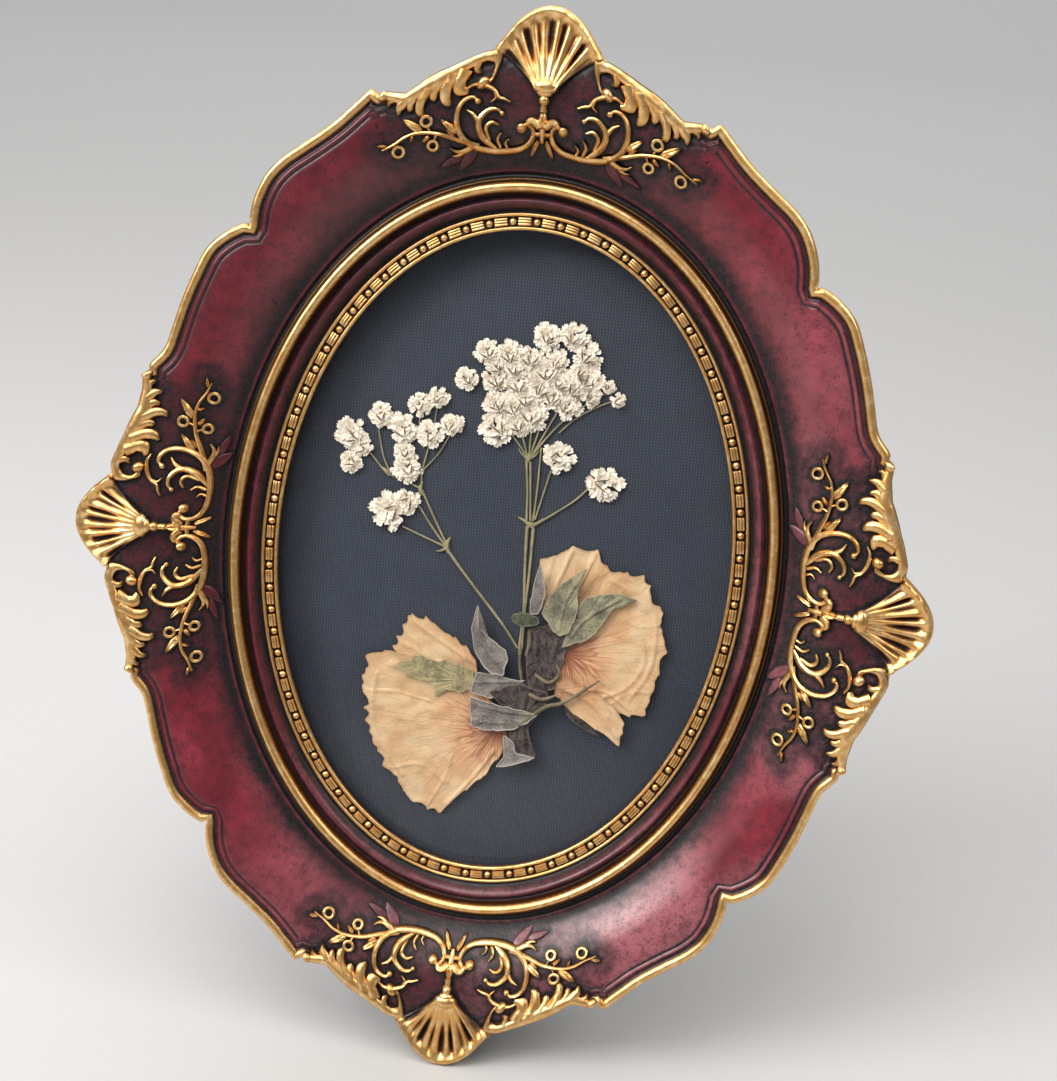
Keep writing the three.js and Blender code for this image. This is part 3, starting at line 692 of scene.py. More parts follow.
# ---- finishes ----
@dataclass(frozen=True)
class AntiquedLacquer:
    """Crimson lacquer with a dark wash rubbed in its hollows and gold rubbed on its high places."""

    crimson: Colour = (0.125, 0.006, 0.014)
    rose: Colour = (0.23, 0.018, 0.034)
    painted_sheen: Colour = (0.36, 0.13, 0.15)
    shade: Colour = (0.03, 0.0015, 0.004)
    soot: Colour = (0.003, 0.0025, 0.003)
    slate: Colour = (0.022, 0.019, 0.022)
    gold: Colour = (0.72, 0.4, 0.135)
    pale_gold: Colour = (0.94, 0.66, 0.33)
    bronze: Colour = (0.1, 0.035, 0.012)

    def build(self) -> Material:
        """Makes the material."""
        s = Shader("antiqued_lacquer", Coat_Roughness=0.3, Coat_IOR=1.5, Specular_IOR_Level=0.22)
        gilt, wash = s.trait(Trait.GILT), s.trait(Trait.WASH)
        clouds = s.noise(16, 3, 0.6)
        mottle = s.noise(2.4, 5, 0.75)
        fine = s.noise(0.5, 3, 0.65)
        lacquer = s.blend(s.fade(clouds, 0.38, 0.66), self.crimson, self.rose)
        where = s.make("SeparateXYZ", Vector=s.place()).outputs
        # Painted sheen: sunny grows towards the right and the bottom of the frame, and there the lacquer is made
        # paler and pinker in place of a glossy highlight.
        sunny = Socket(s, where["X"]) - Socket(s, where["Z"]) * 0.8 + clouds * 0.05
        pale = (s.fade(sunny, -0.11, 0.03) * 0.6 + 0.03) * s.fade(s.noise(30, 2, 0.5), 0.34, 0.6)
        lacquer = s.blend(pale, lacquer, self.painted_sheen)
        # Painted shade: where sunny is lowest, on the upper left, the lacquer is darkened as if less light fell
        # there.
        lacquer = s.blend((1 - s.fade(sunny, -0.23, -0.13)) * 0.4, lacquer, self.shade)
        lacquer = s.blend(s.fade(mottle, 0.42, 0.74) * 0.55, lacquer, self.shade)
        speckle = s.fade(fine, 0.54, 0.62) * s.fade(mottle + clouds * 0.5 + wash * 0.5, 0.62, 0.95)
        # Dark antiquing in the hollows, and painted shade round the carving where the wash trait holds it.
        antique_wash_and_painted_shade = s.fade(wash + (mottle - 0.5) * 0.6 + (clouds - 0.5) * 0.6, 0.08, 0.92)
        dark = s.math("MAXIMUM", speckle * 0.7, antique_wash_and_painted_shade)
        ground = s.blend(dark, lacquer, s.blend(s.fade(fine, 0.35, 0.7), self.soot, self.slate))
        worn = (fine - 0.5) * 0.3 + (mottle - 0.5) * 0.5 + (clouds - 0.5) * 0.4
        rubbed = s.fade(gilt + worn, 0.36, 0.62)
        leaf = s.blend(s.fade(mottle, 0.42, 0.7), self.gold, self.pale_gold)
        leaf = s.blend(s.fade(wash + (fine - 0.5) * 0.4 + (mottle - 0.5) * 0.5, 0.08, 0.7), leaf, self.bronze)
        grain = fine * 0.25 + mottle * 0.75
        return s.finish(
            Base_Color=s.blend(rubbed, ground, leaf),
            Metallic=rubbed * 0.92,
            Roughness=0.38 + (mottle - 0.5) * 0.16 + dark * 0.08 - rubbed * 0.06,
            Coat_Weight=(1 - rubbed) * (0.8 - dark * 0.6),
            Normal=s.bump(grain, 0.1, 0.3),
        )


@dataclass(frozen=True)
class PaneGlass:
    """Clear glass with a faint gloss, which lets all other light through to the card."""

    gloss: float = 0.02

    def build(self) -> Material:
        """Makes the material."""
        s = Shader("pane_glass", "MixShader", i0=self.gloss)
        return s.finish(
            i1=s.node("BsdfTransparent", Color=(0.985, 0.99, 0.99)),
            i2=s.node("BsdfGlossy", Roughness=0.03),
        )


@dataclass(frozen=True)
class LinenCard:
    """Blue-black card embossed like linen."""

    thread: float = 0.78  # distance between threads, in millimetres
    dark: Colour = (0.016, 0.02, 0.03)
    light: Colour = (0.05, 0.058, 0.078)

    def build(self) -> Material:
        """Makes the material."""
        s = Shader("linen_card", Specular_IOR_Level=0.35)
        place = s.place(turn=-(math.pi / 2 - LEAN))
        waver = s.noise(9, 2, 0.5)
        warp, weft = (
            s.node(
                "TexWave", {"bands_direction": direction, "wave_profile": "SIN"},
                Vector=place, Scale=0.314 / (self.thread * MM), Distortion=1.4, Detail=2.0, Detail_Scale=1.5,
            )
            for direction in "XY"
        )
        slub = s.noise(1.6, 3, 0.6)
        weave = warp * 0.5 + weft * 0.3 + slub * 0.2
        tone = s.fade(weave, 0.15, 0.9) * (0.55 + slub * 0.5) + (waver - 0.5) * 0.3
        return s.finish(
            Base_Color=s.blend(tone, self.dark, self.light),
            Roughness=0.62 + slub * 0.2,
            Normal=s.bump(weave, 0.09, 0.8),
        )


@dataclass(frozen=True)
class Flock:
    """Short black-brown flock over board."""

    dark: Colour = (0.008, 0.006, 0.006)
    light: Colour = (0.032, 0.026, 0.024)

    def build(self) -> Material:
        """Makes the material."""
        s = Shader("flock", Sheen_Weight=0.55, Sheen_Roughness=0.4, Specular_IOR_Level=0.2)
        pile = s.noise(0.5, 4, 0.7)
        brushed = s.noise(14, 3, 0.6)
        return s.finish(
            Base_Color=s.blend(s.fade(pile * 0.6 + brushed * 0.4, 0.35, 0.68), self.dark, self.light),
            Roughness=0.82 + pile * 0.15,
            Normal=s.bump(pile, 0.25, 0.7),
        )


@dataclass(frozen=True)
class BrassedSteel:
    """Thin pressed steel with a dull brass wash and fine scratches."""

    brass: Colour = (0.42, 0.33, 0.2)
    steel: Colour = (0.5, 0.48, 0.45)

    def build(self) -> Material:
        """Makes the material."""
        s = Shader("brassed_steel", Metallic=1.0)
        scratch = s.noise(0.12, 2, 0.5)
        stain = s.noise(5, 4, 0.6)
        return s.finish(
            Base_Color=s.blend(s.fade(stain, 0.4, 0.62), self.brass, self.steel),
            Roughness=0.3 + stain * 0.2 + scratch * 0.08,
            Normal=s.bump(scratch, 0.02, 0.4),
        )


@dataclass(frozen=True)
class PressedPetal:
    """A dried rose petal: cream, flushed apricot and veined towards its base."""

    cream: Colour = (0.6, 0.365, 0.185)
    ivory: Colour = (0.7, 0.5, 0.295)
    apricot: Colour = (0.66, 0.31, 0.15)
    vein: Colour = (0.225, 0.055, 0.03)
    rim: Colour = (0.34, 0.17, 0.07)
    flush: float = 23.0  # how far the apricot reaches, in millimetres

    def build(self) -> Material:
        """Makes the material."""
        s = Shader("pressed_petal", Specular_IOR_Level=0.3)
        ray, reach, edge = s.trait(Trait.RAY), s.trait(Trait.REACH), s.trait(Trait.EDGE)
        clouds = s.noise(10, 4, 0.6)
        grain = s.noise(0.8, 4, 0.65)
        sway = s.noise(6, 2, 0.5) - 0.5
        crease = s.noise(6, 3, 0.5, s.place(0.0, (1.0, 1.5, 1.0)))
        turn, away = ray * 8 + sway * 1.3, reach * 0.1 + sway * 0.8
        net = s.cells(1, s.combine(turn, away))
        fine_net = s.cells(1, s.combine(turn * 2.2, away * 1.8, 4.0))
        fibre = s.noise(1.0, 2, 0.5, s.combine(ray * 46, reach * 0.12, 3.0))
        vein = 1 - s.fade(net * reach, 0.2, 0.85)
        twig = 1 - s.fade(fine_net * reach, 0.3, 1.5)
        veined = 1 - s.fade(reach + (clouds - 0.5) * 8, 4, 17)
        fold = 1 - s.fade(abs(crease - 0.5), 0.0, 0.022)
        near = 1 - s.fade(reach + (clouds - 0.5) * 10, 1.5, self.flush)
        base = 1 - s.fade(reach + (fibre - 0.5) * 4, 0.5, 6.5)
        colour = s.blend(s.fade(clouds, 0.35, 0.65), self.cream, self.ivory)
        colour = s.blend(s.fade(grain, 0.5, 0.75) * 0.2, colour, self.rim)
        colour = s.blend(fold * 0.12, colour, self.rim)
        colour = s.blend(near * 0.74, colour, self.apricot)
        colour = s.blend(base * 0.4, colour, self.vein)
        colour = s.blend(twig * veined * 0.22, colour, self.vein)
        colour = s.blend(vein * (0.04 + veined * 0.7), colour, self.vein)
        brown = (1 - s.fade(edge + (grain - 0.5) * 0.9, 0.0, 0.75)) * 0.5
        colour = s.blend(brown, colour, self.rim)
        height = fibre * 0.2 + grain * 0.25 + fold * 0.6 + crease * 0.9 - vein * 0.12
        return s.finish(
            Base_Color=colour,
            Roughness=0.5 + grain * 0.2,
            Normal=s.bump(height, 0.42, 0.9),
        )


@dataclass(frozen=True)
class PressedLeaf:
    """A dried sepal, with a net of veins and a lighter edge."""

    name: str
    dark: Colour
    light: Colour
    line: Colour
    edge_tone: float = 0.7
    net: float = 1.5

    def build(self) -> Material:
        """Makes the material."""
        s = Shader(self.name, Specular_IOR_Level=0.3)
        edge = s.trait(Trait.EDGE)
        clouds = s.noise(4, 4, 0.6)
        grain = s.noise(0.6, 3, 0.6)
        lines = 1 - s.fade(s.cells(self.net), 0.02, 0.1)
        border = 1 - s.fade(edge + (grain - 0.5) * 0.3, 0.12, 0.42)
        colour = s.blend(s.fade(clouds * 0.7 + grain * 0.3, 0.38, 0.62), self.dark, self.light)
        colour = s.blend(lines * 0.22, colour, self.line)
        colour = s.blend(border * self.edge_tone, colour, self.line)
        return s.finish(
            Base_Color=colour,
            Roughness=0.6 + grain * 0.2,
            Normal=s.bump(grain + lines * 0.6, 0.15, 0.6),
        )


@dataclass(frozen=True)
class DriedTissue:
    """The papery white of small dried petals, creamier in their folds."""

    white: Colour = (0.98, 0.885, 0.75)
    cream: Colour = (0.8, 0.64, 0.46)

    def build(self) -> Material:
        """Makes the material."""
        s = Shader("dried_tissue", Specular_IOR_Level=0.25)
        wash = s.trait(Trait.WASH)
        grain = s.noise(0.8, 4, 0.65)
        tone = s.fade(wash + (grain - 0.5) * 0.7, 0.1, 0.9)
        return s.finish(
            Base_Color=s.blend(tone, self.white, self.cream),
            Roughness=0.7 + grain * 0.2,
            Normal=s.bump(grain, 0.2, 0.6),
        )


@dataclass(frozen=True)
class DriedStem:
    """Olive-green dried stems, browner in places."""

    name: str = "dried_stem"
    green: Colour = (0.19, 0.185, 0.09)
    straw: Colour = (0.36, 0.29, 0.18)

    def build(self) -> Material:
        """Makes the material."""
        s = Shader(self.name, Specular_IOR_Level=0.3)
        patches = s.noise(5, 3, 0.6)
        grain = s.noise(0.5, 3, 0.6)
        return s.finish(
            Base_Color=s.blend(s.fade(patches * 0.7 + grain * 0.3, 0.38, 0.62), self.green, self.straw),
            Roughness=0.6 + grain * 0.2,
            Normal=s.bump(grain, 0.08, 0.5),
        )


@dataclass(frozen=True)
class PaleFloor:
    """A plain pale floor."""

    tone: Colour = (0.42, 0.415, 0.41)

    def build(self) -> Material:
        """Makes the material."""
        s = Shader("pale_floor", Specular_IOR_Level=0.25)
        grain = s.noise(30, 3, 0.5)
        return s.finish(Base_Color=self.tone, Roughness=0.75 + grain * 0.1)


# ---- casting ----
@dataclass
class Casting:
    """The oval moulding: sight edge, beading channel, gilt ring, broad scoop and the scalloped gilt rim."""

    station_step: float = 0.78
    scoop_rows: int = 24
    scoop_start: float = 5.2  # ring crest to the scoop's first row
    normal_spread: int = 2
    wall_foot: float = 13.9  # sight edge to the outer wall's foot
    # The dark round the carving set by the next three fields is partly antiquing and partly painted shade.
    shaded_from_w: float = -2.6  # the dark round the carving starts at this height
    line_reach: float = 1.5  # how far it goes as a dark line
    haze_reach: float = 6.5  # and as a haze
    # Rows inside the scoop: offset from the sight edge, height, gilt and wash.
    inner_rows: tuple[tuple[float, float, float, float], ...] = (
        (5.0, -7.0, 0, 1), (0.1, -7.0, 0, 1), (0.0, -6.8, 0.4, 0.6), (0.0, -5.9, 0.9, 0.3), (0.2, -5.5, 1, 0.1),
        (0.55, -5.38, 1, 0), (0.85, -5.5, 1, 0.25), (1.0, -5.95, 0.5, 0.9), (1.25, -6.15, 0.2, 1),
        (3.0, -6.1, 0.2, 1), (3.25, -5.7, 0.5, 0.9), (3.45, -4.95, 0.9, 0.3), (3.75, -4.72, 1, 0.1),
        (4.1, -4.8, 0.9, 0.25), (4.35, -5.15, 0.3, 0.8), (4.7, -5.3, 0, 1), (5.1, -5.0, 0, 0.9), (5.5, -4.2, 0, 0.7),
        (6.0, -3.3, 0, 0.55), (6.5, -2.72, 0, 0.5), (6.85, -2.58, 0, 0.4), (7.2, -2.68, 0, 0.55),
        (7.7, -3.05, 0, 0.65), (8.2, -3.25, 0, 0.9), (8.45, -3.0, 0.35, 0.8), (8.6, -2.3, 0.8, 0.8),
        (8.78, -1.55, 1, 0.7), (9.0, -1.02, 1, 0.55), (9.3, -0.58, 1, 0.3), (9.6, -0.27, 1, 0.06),
        (9.95, -0.07, 1, 0), (10.3, 0.0, 1, 0), (10.65, -0.07, 1, 0.04), (11.0, -0.3, 1, 0.2), (11.3, -0.68, 1, 0.45),
        (11.6, -1.3, 0.9, 0.65), (11.85, -2.1, 0.6, 0.75), (12.15, -2.35, 0.8, 0.3), (12.4, -2.5, 0.6, 0.5),
        (12.6, -3.0, 0.1, 0.9), (13.0, -3.45, 0, 1), (13.5, -3.35, 0, 1), (13.85, -2.75, 0, 0.8),
        (14.15, -2.5, 0, 0.45), (14.45, -2.6, 0, 0.6), (14.9, -2.45, 0, 0.75),
    )
    # Rows of the rim: distance in from the edge, rise over the scoop, gilt and wash.
    rim_rows: tuple[tuple[float, float, float, float], ...] = (
        (5.6, 0.0, 0, 0.3), (5.2, -0.05, 0, 0.55), (4.9, -0.2, 0, 0.85), (4.65, -0.08, 0, 0.6), (4.4, 0.22, 0, 0.25),
        (4.1, 0.34, 0, 0.1), (3.8, 0.2, 0, 0.4), (3.6, -0.02, 0, 0.6), (3.3, -0.2, 0, 0.6), (3.0, -0.24, 0, 0.7),
        (2.75, -0.12, 0.05, 0.95), (2.55, 0.12, 0.6, 0.7), (2.3, 0.45, 0.9, 0.4), (1.95, 0.8, 1, 0.2),
        (1.55, 1.0, 1, 0.05), (1.15, 1.02, 1, 0), (0.75, 0.85, 1, 0), (0.38, 0.48, 1, 0.05), (0.1, -0.42, 1, 0.2),
        (0.0, -0.85, 1, 0.35), (0.05, -1.6, 0.6, 0.65), (0.25, -2.8, 0.35, 0.8),
    )
    # Rows of the outer wall: share of the way from the rim to the back, and the height there.
    wall_rows: tuple[tuple[float, float], ...] = (
        (0.02, 4.2), (0.08, 1.0), (0.22, -3.0), (0.42, -7.0), (0.66, -11.5), (0.86, -15.2), (0.97, -17.2),
    )
    back_offsets: tuple[tuple[float, float], ...] = ((13.6, -17.5), (5.3, -17.5), (5.0, -17.2), (5.0, -7.0))

    def rim_frame(self) -> tuple[Array, Array]:
        """Outline points and their outward directions, eased over the cusps.

        Returns:
            The points and the unit normals.
        """
        edge = outline_points(self.station_step)
        along = np.roll(edge, -1, axis=0) - np.roll(edge, 1, axis=0)
        normal = np.stack([along[:, 1], -along[:, 0]], axis=1)
        normal /= np.hypot(*normal.T)[:, None]
        eased = sum(
            np.roll(normal, shift, axis=0) * (self.normal_spread + 1 - abs(shift))
            for shift in range(-self.normal_spread, self.normal_spread + 1)
        )
        return edge, eased / np.hypot(*eased.T)[:, None]

    @staticmethod
    def rim_relief(edge: Array) -> Array:
        """1 where the rim has its own section, less where acanthus or a shell lies over it."""
        across, up = np.abs(edge).T
        carved = np.where(up > across, np.clip((39.6 - across) / 2, 0, 1), np.clip((39.8 - up) / 2, 0, 1))
        return 1 - 0.9 * carved

    def rows(self) -> tuple[Array, Array, Array]:
        """Lays out the section at every station round the outline.

        Returns:
            Points as (rows, stations, 3), and the gilt and wash of each row at each station.
        """
        edge, normal = self.rim_frame()
        start = edge - normal * self.rim_rows[0][0]
        turn = np.unwrap(oval_foot(start)[0])
        stations = len(edge)
        points, gilt, wash = [], [], []

        def add(plan: Array, height: Array | float, gold: float, dark: float) -> None:
            """Adds one row of the section."""
            points.append(np.column_stack([plan, np.broadcast_to(height, stations)]))
            gilt.append(np.full(stations, float(gold)))
            wash.append(np.full(stations, float(dark)))

        for offset, height, gold, dark in self.inner_rows:
            add(oval_point(turn, offset), height, gold, dark)
        inner = oval_point(turn, RING_OFFSET + self.scoop_start)
        for i in range(self.scoop_rows):
            share = i / self.scoop_rows
            plan = inner + (start - inner) * share
            dark = 0.8 * (1 - min(1, share / 0.36)) + 0.08 + 0.2 * max(0, (share - 0.7) / 0.3)
            add(plan, surface_w(plan) - SHELL_HOLLOW * under_shell(plan), 0, dark)
        lip = surface_w(start)
        relief = self.rim_relief(edge)
        for inward, rise, gold, dark in self.rim_rows:
            plan = edge - normal * inward
            height = lip + rise * (relief if inward > 0.2 else 1)
            add(plan, height - SHELL_HOLLOW * under_shell(plan), gold, dark)
        foot = edge - normal * 0.25
        back = oval_point(turn, self.wall_foot)
        for share, height in self.wall_rows:
            add(foot + (back - foot) * share, np.minimum(height, lip - 3.2), 0, 0.85)
        for offset, height in self.back_offsets:
            add(oval_point(turn, offset), height, 0, 1)
        return np.array(points), np.array(gilt), np.array(wash)

    def build(self, finish: Material, carving: KDTree) -> None:
        """Makes the moulding, dark round the carving and cut flat where it stands.

        Args:
            finish: The lacquer.
            carving: Face points of the ornaments.
        """
        points, gilt, wash = self.rows()
        rows, stations = points.shape[:2]
        obj = sheet_mesh(stations, rows - 1, lambda column, row: points[row, column % stations])
        column, row = grid_order(stations, rows - 1)
        gold, dark = gilt[row, column % stations], wash[row, column % stations]
        set_trait(obj, Trait.GILT, gold)
        places = points_of(obj)
        near = distances(carving, places[:, :2])
        # Dark line and haze round the carving: partly antiquing that collects there, partly painted shade where the
        # relief would shade the ground.
        line = np.clip((self.line_reach - near) / 0.9, 0, 1) * 0.9
        haze = np.clip((self.haze_reach - near) / 3.5, 0, 1) * 0.64
        shaded = (places[:, 2] > self.shaded_from_w) & (gold < 0.5)
        set_trait(obj, Trait.WASH, np.where(shaded, np.maximum(dark, np.maximum(line, haze)), dark))
        weld(obj)
        cut_at_floor(obj)
        Piece("casting_moulding", Slot.CASTING, finish, replaces=("frame",), smooth_angle=60).deliver(obj)


# ---- ornaments ----
class Side(Enum):
    """The four places of an ornament on the casting."""

    RIGHT = "right"
    LEFT = "left"
    TOP = "top"
    BOTTOM = "bottom"

    @property
    def upright(self) -> bool:
        """Whether the ornament is at the top or the bottom."""
        return self in (Side.TOP, Side.BOTTOM)


@dataclass(frozen=True)
class Leaf:
    """A small carved leaf, from its root to its tip."""

    root: tuple[float, float]
    tip: tuple[float, float]
    width: float
    height: float = 1.3


@dataclass
class Ornament:
    """Scrollwork, acanthus and a scallop shell, drawn once on its right half.

    Places are (along, out): along the rim from the ornament's middle line, and out from the line that it grows
    from. Rim pieces are (along, depth), with the depth measured in from the outline.
    """

    base: float = 7.4  # ring crest to the line that the ornament grows from
    spread: float = 0.93  # "out" on the moulding's slope
    bend: float = 0.0025  # the top and bottom ones follow the oval's tighter curve
    lift: float = 0.55  # centre of a stroke over the moulding
    rise: float = 1.55  # strokes are taller than wide
    scrolls: tuple[Stroke, ...] = (
        Stroke(
            ((5.2, 5.6), (3.5, 6.5), (2.2, 5), (2.6, 2.8), (4.6, 0.9), (8, 0), (12, -0.2), (16, 0.5), (19, 2.6),
             (20.4, 6), (20.2, 9.4), (18.8, 11.6), (16.8, 12.3), (15.6, 11.2)),
            (0.5, 0.6, 0.68, 0.75, 0.8, 0.85, 0.9, 0.9, 0.85, 0.8, 0.75, 0.68, 0.6, 0.45),
        ),
        Stroke(
            ((11, 0.3), (14, 2.6), (15.2, 5), (15, 7.2), (13, 9.3), (11, 9.6), (9.7, 8.6)),
            (0.5, 0.85, 0.95, 0.85, 0.7, 0.55, 0.35),
        ),
        Stroke(((15.1, 5.8), (16.4, 8), (18.2, 9.2)), (0.7, 0.6, 0.22)),
        Stroke(((12.6, 2.2), (13.5, 5), (12.1, 6.5), (10.4, 5.9)), (0.5, 0.62, 0.5, 0.32)),
        Stroke(((10, 0.6), (10.7, 2.6), (9.8, 4.2)), (0.5, 0.48, 0.28)),
        Stroke(((8.2, 0.2), (8.8, 1.8), (7.9, 2.9)), (0.45, 0.4, 0.22)),
        Stroke(((18.5, 14.3), (16.7, 15.3), (14, 15.1), (11.8, 14), (10.8, 12.5), (9.4, 12.1), (8, 11.5)),
               (0.32, 0.5, 0.66, 0.62, 0.5, 0.45, 0.28)),
        Stroke(((11.9, 14), (11.5, 12.4), (12.6, 11.3)), (0.45, 0.4, 0.2)),
        Stroke(((15, 0.8), (20, 2), (24.5, 3.4), (29, 3.8), (32.3, 3), (35, 1.3), (37.8, 0)),
               (0.7, 0.66, 0.58, 0.5, 0.45, 0.4, 0.28)),
        Stroke(((26.6, 3.6), (27.2, 5)), (0.4, 0.34)),
        Stroke(((25.2, 3.2), (25.8, 1.7)), (0.38, 0.3)),
        Stroke(((16.8, 0.4), (19, -0.7), (20.8, -0.6), (22, 0.2)), (0.7, 0.8, 0.5, 0.2)),
        Stroke(((18.4, -0.5), (20, -1.6), (21.6, -1.7)), (0.6, 0.5, 0.2)),
        Stroke(((0.3, 4.6), (1.5, 4.4), (2.3, 5)), (0.6, 0.55, 0.4)),
    )
    leaves: tuple[Leaf, ...] = (
        Leaf((19.8, 3.4), (24.4, 7), 2.3), Leaf((20.6, 2.6), (23.2, 4.6), 1.2), Leaf((28.2, 3.8), (33.4, 7.4), 2.6),
        Leaf((28.4, 4), (31.4, 4.9), 1.5), Leaf((26.6, 3.2), (28.8, 1.3), 1.4), Leaf((30.6, 3.4), (31.4, 1.2), 1.0),
        Leaf((0.7, 3.4), (2.9, -1.4), 1.7), Leaf((36.4, 0.8), (39.4, 1.2), 1.1),
    )
    berries: tuple[tuple[float, float, float], ...] = ((27.6, 6.5, 1.2), (26, 0.7, 1.1), (34, -0.6, 1.25))
    bosses: tuple[tuple[float, float, float], ...] = ((5, 5.5, 1.25), (15.7, 11.3, 0.8), (9.8, 8.7, 0.62))
    rim_strokes: tuple[Stroke, ...] = (
        Stroke(
            ((14.6, 7.4), (12.7, 7.2), (11.6, 5.2), (12, 2.9), (14, 1.5), (17, 1.5), (20, 1.9), (25, 1.9), (30, 1.6),
             (35, 1.3), (38.4, 1.2)),
            (0.7, 0.9, 1.1, 1.3, 1.5, 1.8, 2.2, 2.2, 1.8, 1.4, 1.0),
        ),
        Stroke(((19, 2.8), (20.3, 5.2), (19.6, 7.2), (18, 8)), (2.2, 2.0, 1.5, 0.7)),
        Stroke(((22, 2.6), (23.4, 5), (23.2, 7.4), (22.2, 9.2)), (2.4, 1.9, 1.3, 0.5)),
        Stroke(((25.2, 2.4), (26.2, 4.4), (25.8, 6)), (2.0, 1.5, 0.6)),
        Stroke(((27.8, 2.4), (29.2, 4.6), (29.2, 6.6), (28.4, 8)), (2.2, 1.7, 1.1, 0.4)),
        Stroke(((30.8, 2), (31.6, 3.8), (31.2, 5)), (1.7, 1.2, 0.5)),
        Stroke(((32.8, 1.8), (34.2, 3.4), (34.4, 5.2)), (1.7, 1.2, 0.4)),
        Stroke(((35.8, 1.6), (36.8, 2.6), (36.9, 3.6)), (1.1, 0.8, 0.4)),
        Stroke(((16.2, 2), (16.4, 3.6), (15.4, 4.8)), (1.3, 0.9, 0.3)),
    )
    rim_bosses: tuple[tuple[float, float, float], ...] = ((14.8, 7.2, 1.5), (38.2, 1.3, 1.3), (20.6, 4.2, 1.2))
    middle: tuple[Stroke, ...] = (
        Stroke(((0, 9.6), (0, 11), (0, 13.8)), (0.9, 0.75, 0.9)),
        Stroke(((0, 2.4), (0, 4.2), (0, 5.6)), (0.4, 0.7, 0.8)),
        Stroke(((0.6, 6), (2.2, 7.4), (3.4, 7), (3.3, 6)), (0.9, 1.0, 0.9, 0.5)),
        Stroke(((-0.6, 6), (-2.2, 7.4), (-3.4, 7), (-3.3, 6)), (0.9, 1.0, 0.9, 0.5)),
    )
    spurs: tuple[Leaf, ...] = (Leaf((15.6, 0.4), (20, -5.2), 3.2, 0.8), Leaf((19, -1.8), (24.6, -4.4), 2.2, 0.7))
    middle_leaf: Leaf = Leaf((0, 5), (0, 10.4), 3.0, 2.3)
    ribs: int = 9
    rib_columns: int = 10
    shell_rows: int = 26
    shell_w: float = 9.45  # height of the shell's ribs
    furrow: float = 1.6  # depth between the ribs
    shell_thickness: float = 2.2

    def edge_out(self, side: Side) -> tuple[Array, Array]:
        """Places along the ornament, and the outline's distance outside the ring crest there."""
        if side.upright:
            line = np.array([*SHELL_EDGE_TOP[::-1], *ACANTHUS_EDGE_TOP[-2::-1]])
            return line[:, 0], line[:, 1] - RING_V
        line = np.array([*SHELL_EDGE_RIGHT, *ACANTHUS_EDGE_RIGHT[1:]])
        return line[:, 1], line[:, 0] - RING_U

    def on_face(self, side: Side, along: Array, out: Array) -> Array:
        """Puts (along, distance outside the ring crest) on the face, as rows of (u, v)."""
        sign = -1 if side in (Side.LEFT, Side.BOTTOM) else 1
        if side.upright:
            return np.stack([along, sign * (RING_V + out)], axis=1)
        return np.stack([sign * (RING_U + out), along], axis=1)

    def from_base(self, side: Side, along: Array, out: Array) -> Array:
        """The distance outside the ring crest of a drawn "out"."""
        bow = self.bend * along**2 if side.upright else 0
        return self.base + out * self.spread - bow

    def field_template(self) -> Object:
        """The right half of the scrollwork, flat, with heights over the moulding."""
        tube = strokes_mesh(self.scrolls, 0.55)
        stretch(tube, (1, 1, self.rise), (0, 0, self.lift))
        parts = [tube, *map(self.leaf_mesh, self.leaves)]
        parts += [berry((x, y, 0.9), radius, 0.42) for x, y, radius in self.berries]
        parts += [ball((x, y, 0.7), radius, 1.3) for x, y, radius in self.bosses]
        return join(parts)

    def rim_template(self) -> Object:
        """The right half of the rim's acanthus, flat, as (along, depth, height)."""
        tube = strokes_mesh(self.rim_strokes, 0.6)
        stretch(tube, (1, 1, 0.9), (0, 0, 0.35))
        return join([tube, *(ball((x, y, 0.5), radius, 1.25) for x, y, radius in self.rim_bosses)])

    def middle_template(self) -> Object:
        """The knot under the shell and its neck, which climbs to the hinge."""
        bar = strokes_mesh(self.middle, 0.5, 3)
        stretch(bar, (1, 1, 1.4), (0, 0, 0.9))
        return join([bar, self.leaf_mesh(self.middle_leaf), ball((0, 12.3, 1.5), 1.25, 1.1)])

    def spur_template(self) -> Object:
        """The low lacquered spur between the scrollwork and the ring."""
        return join([*map(self.leaf_mesh, self.spurs)])

    @staticmethod
    def leaf_mesh(leaf: Leaf) -> Object:
        """A pointed leaf with a groove along its middle."""
        obj = ball((0, 0, 0), 1, 1, 12)
        x, y, z = points_of(obj).T
        root, tip = np.array(leaf.root), np.array(leaf.tip)
        along = tip - root
        across = np.array([-along[1], along[0]]) / np.hypot(*along)
        share = (x + 1) / 2
        taper = 1 - 0.55 * share**2
        plan = root + np.outer(share, along) + np.outer(y * taper * leaf.width / 2, across)
        groove = 0.35 * np.exp(-((y / 0.22) ** 2)) * (z > 0)
        move_points(obj, np.column_stack([plan, 0.3 + z * leaf.height * (1 - groove) * (1 - 0.3 * share)]))
        return obj

    def shell_template(self, side: Side) -> Object:
        """The scallop shell, as (along, distance outside the ring crest, height w)."""
        edge = np.stack(self.edge_out(side), axis=1)[: len(SHELL_EDGE_TOP)]
        line = smooth_line([*edge[:0:-1] * (-1, 1), *edge], 0.2)
        columns, rows = self.ribs * self.rib_columns, self.shell_rows
        picks = np.linspace(0, len(line) - 1, columns + 1)
        rim = np.stack([np.interp(picks, np.arange(len(line)), line[:, k]) for k in (0, 1)], axis=1)
        rim = rim * (0.985, 1) - (0, 0.12)

